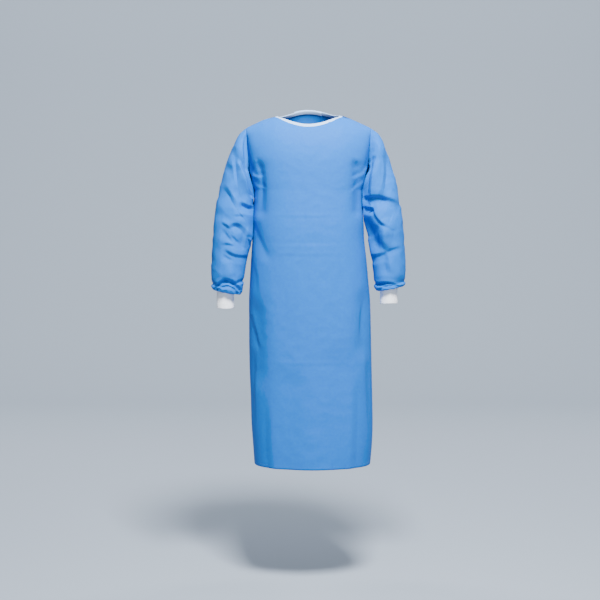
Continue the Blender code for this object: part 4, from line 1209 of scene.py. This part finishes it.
class GOWN_OT_stage(bpy.types.Operator):
    """Make the paper floor and backdrop, the lights and the camera"""
    bl_idname = "gown.stage"
    bl_label = "Studio"

    def execute(self, context):
        settings = context.scene.gown_stage
        bpy.ops.object.select_all(action="DESELECT")
        bpy.ops.mesh.primitive_plane_add(size=1, location=(0, 0, 0))
        paper = context.object
        paper.name = "studio_paper"
        for vert in paper.data.vertices:
            vert.co.x *= 20.0
            vert.co.y = 6.4 if vert.co.y > 0 else -7.0
            vert.co.z = settings.floor_z
        bpy.ops.object.mode_set(mode="EDIT")
        bpy.ops.mesh.select_all(action="DESELECT")
        bpy.ops.object.mode_set(mode="OBJECT")
        for edge in paper.data.edges:
            edge.select = all(paper.data.vertices[n].co.y > 2 for n in edge.vertices)
        bpy.ops.object.mode_set(mode="EDIT")
        bpy.ops.mesh.select_mode(type="EDGE")
        bpy.ops.mesh.extrude_region_move(TRANSFORM_OT_translate={"value": (0, 0, 8.0)})
        bpy.ops.object.mode_set(mode="OBJECT")
        for edge in paper.data.edges:
            ends = [paper.data.vertices[n].co for n in edge.vertices]
            edge.select = all(end.y > 2 and end.z < settings.floor_z + 0.01 for end in ends)
        bpy.ops.object.mode_set(mode="EDIT")
        bpy.ops.mesh.bevel(offset=2.4, segments=20, affect="EDGES")
        bpy.ops.object.mode_set(mode="OBJECT")
        paper.data.shade_smooth()
        paper.data.materials.append(studio_paper(settings.paper_colour))
        self.add_lights(context, settings)
        self.add_camera(context)
        return {"FINISHED"}

    def add_lights(self, context, settings):
        for name, place, aim, size, power in (
            ("key_softbox", (0.35, -2.0, 2.3), (0.0, 0.0, -0.4), 0.8, settings.key_power),
            ("fill_softbox", (0.4, -3.8, 0.0), (0.0, 0.0, -0.5), 1.4, settings.fill_power),
            ("paper_light_left", (-2.8, 2.2, 2.6), (-0.8, 5.8, -0.6), 2.0, settings.paper_power),
            ("paper_light_right", (2.8, 2.2, 2.6), (0.8, 5.8, -0.6), 2.0, settings.paper_power),
        ):
            data = bpy.data.lights.new(name, "AREA")
            data.energy = power
            data.size = size
            light = bpy.data.objects.new(name, data)
            context.scene.collection.objects.link(light)
            light.location = place
            light.visible_camera = False
            light.rotation_euler = (Vector(aim) - Vector(place)).to_track_quat("-Z", "Y").to_euler()
        world = bpy.data.worlds.new("studio_air")
        world.use_nodes = True
        world.node_tree.nodes["Background"].inputs["Color"].default_value = linear("#DCE6F2")
        world.node_tree.nodes["Background"].inputs["Strength"].default_value = settings.air
        context.scene.world = world

    def add_camera(self, context):
        data = bpy.data.cameras.new("photograph")
        data.sensor_width = 36.0
        data.lens = 83.82
        camera = bpy.data.objects.new("photograph", data)
        camera.location = (-0.033, -4.6, -0.27)
        camera.rotation_euler = (math.radians(90 - 4.06), 0, 0)
        context.scene.collection.objects.link(camera)
        context.scene.camera = camera


class GOWN_OT_panels(bpy.types.Operator):
    """Make the front and the two back halves"""
    bl_idname = "gown.panels"
    bl_label = "Front and back"

    def execute(self, context):
        settings = context.scene.gown_cloth
        material = sms_nonwoven(settings)
        cloth = worn_cloth(settings.crease_strength)
        # Columns: node, width and length of the cut, and its flat area
        cuts = (
            ("front_panel", 0.62, 1.14, 0.60),
            ("back_panel_left", 0.40, 1.20, 0.42),
            ("back_panel_right", 0.40, 1.20, 0.42),
        )
        for node, width, length, area in cuts:
            points, _, lie = cloth[node]
            piece = grid_piece(node.replace("panel", "cloth"), points, False, material, lie)
            apply_modifier(piece, "SOLIDIFY", thickness=settings.thickness, offset=-1.0)
            dress(piece, "cloth", node)
        return {"FINISHED"}


class GOWN_OT_sleeves(bpy.types.Operator):
    """Make the two sleeves, each with its gathered end turned in to the cuff"""
    bl_idname = "gown.sleeves"
    bl_label = "Sleeves"

    def execute(self, context):
        settings = context.scene.gown_cloth
        material = bpy.data.materials["sms_nonwoven_polypropylene"]
        cloth = worn_cloth(settings.crease_strength)
        for node in ("sleeve_left", "sleeve_right"):
            points, _, lie = cloth[node]
            piece = grid_piece(node.replace("sleeve", "sleeve_cloth"), points, True, material, lie)
            apply_modifier(piece, "SOLIDIFY", thickness=settings.thickness, offset=-1.0)
            dress(piece, "cloth", node)
        return {"FINISHED"}


class GOWN_OT_cuffs(bpy.types.Operator):
    """Make the two rib knit cuffs, with a turned lower edge"""
    bl_idname = "gown.cuffs"
    bl_label = "Knit cuffs"

    def execute(self, context):
        settings = context.scene.gown_knit
        material = rib_knit(settings)
        for node, cuff in (("cuff_left", CUFF_LEFT), ("cuff_right", CUFF_RIGHT)):
            piece = grid_piece(node.replace("cuff", "knit_cuff"), self.knit(settings, cuff), True, material, None, True)
            dress(piece, "knit", node)
        return {"FINISHED"}

    def knit(self, settings, cuff):
        """A grid round the cuff: down its outside, round its lower edge and up its inside."""
        middle_x, middle_y, top, bottom, half_width, half_depth = cuff
        turns = np.linspace(0, 2 * np.pi, settings.ribs * 6, endpoint=False)
        ribs = 0.5 + 0.5 * np.cos(turns * settings.ribs)
        height = top - bottom
        round_edge = settings.wall / 2
        profile = [(share, 0.0, 1.0) for share in np.linspace(1, 0.02, 34)]
        profile += [
            (-math.sin(a) * round_edge / height * 0.2, -round_edge * (1 - math.cos(a)), 0.3)
            for a in np.linspace(0.3, math.pi - 0.3, 5)
        ]
        profile += [(share, -settings.wall, 0.3) for share in np.linspace(0.02, 1, 14)]
        rows = []
        for share, out, ribbed in profile:
            clipped = min(max(share, 0.0), 1.0)
            slack = 1 - CUFF_WAISTING * math.sin(math.pi * clipped)
            hem = smooth((clipped - 0.10) / 0.03)
            rib = RIB_HEIGHT * (ribs * ribbed * hem + 0.55 * (1 - hem) * ribbed)
            wave = 0.0007 * (1 - clipped) * np.sin(2 * turns + middle_x * 40)
            rows.append(np.stack([
                middle_x + np.cos(turns) * (half_width * slack + out + rib),
                middle_y + np.sin(turns) * (half_depth * slack + out + rib),
                bottom + height * share + wave + 0.0004,
            ], axis=-1))
        return np.array(rows)[::-1]


class GOWN_OT_binding(bpy.types.Operator):
    """Make the folded tape round the neck edge, with its row of stitches"""
    bl_idname = "gown.binding"
    bl_label = "Neck binding"

    def execute(self, context):
        settings = context.scene.gown_sewing
        points, normals = neck_path(worn_cloth(context.scene.gown_cloth.crease_strength))
        ahead = np.roll(points, -1, axis=0)
        behind = np.roll(points, 1, axis=0)
        ahead[-1] = points[-1]
        behind[0] = points[0]
        up = unit(np.cross(normals, unit(ahead - behind)))
        base = points - normals * SOLID_WALL / 2
        rings = [base + up * rise + normals * out for rise, out in BINDING_SECTION]
        grid = np.array(rings)
        piece = grid_piece("neck_binding_tape", grid[::-1], False, folded_tape(settings))
        dress(piece, "binding", "neck_binding")
        seam = base + up * 0.0004 + normals * 0.0013
        thread = spun_thread("pale_sewing_thread", settings.pale_thread)
        stitches = sew("binding_stitches", [(seam, normals)], settings.stitch, settings.thread, 0.0034, thread)
        dress(stitches, "binding")
        return {"FINISHED"}


def neck_path(cloth):
    """The neck edge from the end of the left back half, round the front, to the end of the right one."""
    points, normals = [], []
    for name in ("back_panel_left", "front_panel", "back_panel_right"):
        grid, facing, lie = cloth[name]
        neck = np.abs(lie[-1, :, 0] - CHEST_SHIFT) <= NECK_HALF + 1e-6
        points.append(grid[-1, neck])
        normals.append(facing[-1, neck])
    points = np.concatenate([points[0]] + [part[1:] for part in points[1:]])
    normals = np.concatenate([normals[0]] + [part[1:] for part in normals[1:]])
    for _ in range(NECK_EASED):
        for rows in (points, normals):
            rows[1:-1] = (rows[:-2] + 2 * rows[1:-1] + rows[2:]) / 4
    return points, unit(normals)


class GOWN_OT_tie(bpy.types.Operator):
    """Make the waist tie: a folded strip across the back, its knot and two hanging ends"""
    bl_idname = "gown.tie"
    bl_label = "Waist tie"

    def execute(self, context):
        material = bpy.data.materials["sms_nonwoven_polypropylene"]
        parts = [self.band(), self.tail(-1), self.tail(1), self.knot()]
        pieces = [grid_piece(f"waist_tie_{i}", part, False, material) for i, part in enumerate(parts)]
        bpy.ops.object.select_all(action="DESELECT")
        for piece in pieces:
            piece.select_set(True)
        tie = pieces[0]
        bpy.context.view_layer.objects.active = tie
        bpy.ops.object.join()
        tie.name = "waist_tie_strip"
        apply_modifier(tie, "SOLIDIFY", thickness=TIE_THICK / 2, offset=-1.0)
        dress(tie, "cloth", "waist_tie")
        return {"FINISHED"}

    def stood_off(self, x, z, out):
        """Points that stand out from the lapped back."""
        base, normal = waist_point(x, z)
        return base + normal * (tie_stand(x) + out)[..., None]

    def band(self):
        """The strip across the back, drawn together where it goes into the knot."""
        over, along = np.meshgrid(np.linspace(-1, 1, 25), np.linspace(1, -1, 181), indexing="ij")
        x = along * TIE_END
        drawn = 1 - smooth((np.abs(x) - KNOT_HALF * 0.7) / DRAWN_LENGTH)
        z = TIE_Z + over * TIE_WIDTH / 2 * (1 - (1 - DRAWN_WIDTH) * drawn) - 0.0012 * np.sin(x * 34) * (1 - drawn)
        pleats = 0.0009 * drawn * np.cos(over * 9 + x * 60)
        slack = 0.0003 * np.cos(over * 3 + x * 90)
        return self.stood_off(x, z, TIE_THICK + pleats + slack - 0.0007 * over ** 10)

    def tail(self, side):
        """An end that hangs from the knot, folded lengthwise at its top and opening out lower down."""
        share, over = np.meshgrid(np.linspace(1, 0, 141), np.linspace(1, -1, 25), indexing="ij")
        drawn = 1 - smooth(share * TAIL_LENGTH / DRAWN_LENGTH)
        middle = side * (TAIL_INNER + TIE_WIDTH / 2 + TAIL_SPREAD * share) - side * 0.006 * drawn
        sway = 0.0016 * np.sin(share * 7 + side) * share
        x = middle + sway + over * TIE_WIDTH / 2 * (1 - (1 - DRAWN_WIDTH) * drawn)
        z = TIE_Z - TAIL_TOP - share * (TIE_WIDTH / 2 + TAIL_LENGTH - TAIL_TOP) - 0.0012 * over * side * share
        fold = 0.0011 * np.cos(over * 4.4 + side * (0.8 + 2.2 * share)) * (1 - 0.6 * share)
        wave = 0.0008 * (1 + np.sin(share * 11 + over * 1.2 + side * 2))
        return self.stood_off(x, z, TIE_THICK + 0.0009 + fold + wave - 0.0005 * over ** 10)

    def knot(self):
        """A round, flat knot: one strip wraps slantwise over the other."""
        v, u = np.meshgrid(np.linspace(-1, 1, 61), np.linspace(1, -1, 77), indexing="ij")
        x = KNOT_HALF * u * np.sqrt(1 - v ** 2 / 2)
        z = KNOT_RISE * v * np.sqrt(1 - u ** 2 / 2)
        round_form = np.sqrt(np.maximum(1 - (x / KNOT_HALF) ** 2 - (z / KNOT_RISE) ** 2, 0.0))
        across = 0.82 * x + 0.57 * z
        along = 0.82 * z - 0.57 * x
        wrap = smooth((KNOT_WRAP - np.abs(across + 0.0012 * np.sin(along * 150))) / 0.0012)
        pleats = 0.0005 * np.cos(across * 1500 + along * 120) * wrap + 0.0004 * np.cos(z * 1300) * (1 - wrap)
        height = round_form * (KNOT_THICK * (0.74 + 0.26 * wrap) + pleats)
        return self.stood_off(x, TIE_Z + z, TIE_THICK * 0.9 + height)


def waist_point(x, z):
    """Points of the back before it is lapped, and the ways out from them."""
    middle, half, _, back = read_table(BODY_LEVELS, z)
    share = (x - middle) / half
    y = back * (1 - np.abs(share) ** RING_POWER) ** (1 / RING_POWER)
    slope = RING_POWER - 1
    out = np.stack([signed_power(share, slope) / half, (y / back) ** slope / back, np.zeros_like(y)], axis=-1)
    return np.stack([x, y, z], axis=-1), unit(out)


def tie_stand(x):
    """How far the tie stands off the unlapped back: it steps up over the lap's edge."""
    step = smooth((x - TIE_STEP_START) / (TIE_STEP_END - TIE_STEP_START))
    return TIE_CLEARANCE + np.minimum(step * LAP_LIFT, lap_lift(x))


class GOWN_OT_seams(bpy.types.Operator):
    """Sew the armhole, underarm, shoulder and side seams, the hem and the free edges of the back halves"""
    bl_idname = "gown.seams"
    bl_label = "Seams"

    def execute(self, context):
        settings = context.scene.gown_sewing
        cloth = worn_cloth(context.scene.gown_cloth.crease_strength)
        thread = spun_thread("blue_sewing_thread", settings.thread_colour)
        front, front_out, lie = cloth["front_panel"]
        side_rows = len(skirt_places()) + 1
        shoulder = np.abs(lie[-1, :, 0] - CHEST_SHIFT) >= NECK_HALF - 1e-6
        left = shoulder & (lie[-1, :, 0] < 0)
        right = shoulder & (lie[-1, :, 0] > 0)
        sides = [(front[:side_rows, n], front_out[:side_rows, n]) for n in (0, -1)]
        tops = [(front[-1, some], front_out[-1, some]) for some in (left, right)]
        arms = []
        for node in ("sleeve_left", "sleeve_right"):
            points, out, _ = cloth[node]
            arms.append((np.concatenate([points[0], points[0, :1]]), np.concatenate([out[0], out[0, :1]])))
            arms.append((points[:-TURN_STEPS, 0], out[:-TURN_STEPS, 0]))
        # The hem and the free edges of the back halves are turned in and sewn 12 and 8 mm from the edge
        hems = []
        for node, edge in (("front_panel", None), ("back_panel_left", 0), ("back_panel_right", -1)):
            points, out, lie = cloth[node]
            row = int(np.argmin(np.abs(lie[:, 0, 2] - HEM_Z - 0.012)))
            hems.append((points[row], out[row]))
            if edge is not None:
                run = lengths_along(lie, 1)
                column = int(np.argmin(np.abs(np.abs(run - run[edge]) - 0.008)))
                hems.append((points[:, column], out[:, column]))
        for name, rows in (("seam_stitches", sides + tops + arms), ("hem_stitches", hems)):
            stitches = sew(name, rows, settings.stitch, settings.thread, 0.0034, thread)
            dress(stitches, "cloth")
        return {"FINISHED"}


class GOWN_PT_sidebar(bpy.types.Panel):
    """The gown's sizes, colours and steps"""
    bl_idname = "GOWN_PT_sidebar"
    bl_label = "Surgical gown"
    bl_space_type = "VIEW_3D"
    bl_region_type = "UI"
    bl_category = "Gown"

    def draw(self, context):
        for group in (
            context.scene.gown_stage, context.scene.gown_cloth, context.scene.gown_knit, context.scene.gown_sewing
        ):
            box = self.layout.box()
            for name in group.bl_rna.properties.keys():
                if name not in ("rna_type", "name"):
                    box.prop(group, name)
        for operator in OPERATORS:
            self.layout.operator(operator.bl_idname)


SETTINGS = {
    "gown_stage": GownStageSettings,
    "gown_cloth": GownClothSettings,
    "gown_knit": GownKnitSettings,
    "gown_sewing": GownSewingSettings,
}
OPERATORS = (
    GOWN_OT_stage,
    GOWN_OT_panels,
    GOWN_OT_sleeves,
    GOWN_OT_cuffs,
    GOWN_OT_binding,
    GOWN_OT_tie,
    GOWN_OT_seams,
)


def register():
    for group in SETTINGS.values():
        bpy.utils.register_class(group)
    for name, group in SETTINGS.items():
        setattr(bpy.types.Scene, name, bpy.props.PointerProperty(type=group))
    for operator in OPERATORS:
        bpy.utils.register_class(operator)
    bpy.utils.register_class(GOWN_PT_sidebar)


def unregister():
    bpy.utils.unregister_class(GOWN_PT_sidebar)
    for operator in reversed(OPERATORS):
        bpy.utils.unregister_class(operator)
    for name in SETTINGS:
        delattr(bpy.types.Scene, name)
    for group in reversed(list(SETTINGS.values())):
        bpy.utils.unregister_class(group)


def main():
    register()
    bpy.ops.gown.stage()
    bpy.ops.gown.panels()
    bpy.ops.gown.sleeves()
    bpy.ops.gown.cuffs()
    bpy.ops.gown.binding()
    bpy.ops.gown.tie()
    bpy.ops.gown.seams()


if __name__ == "__main__":
    main()
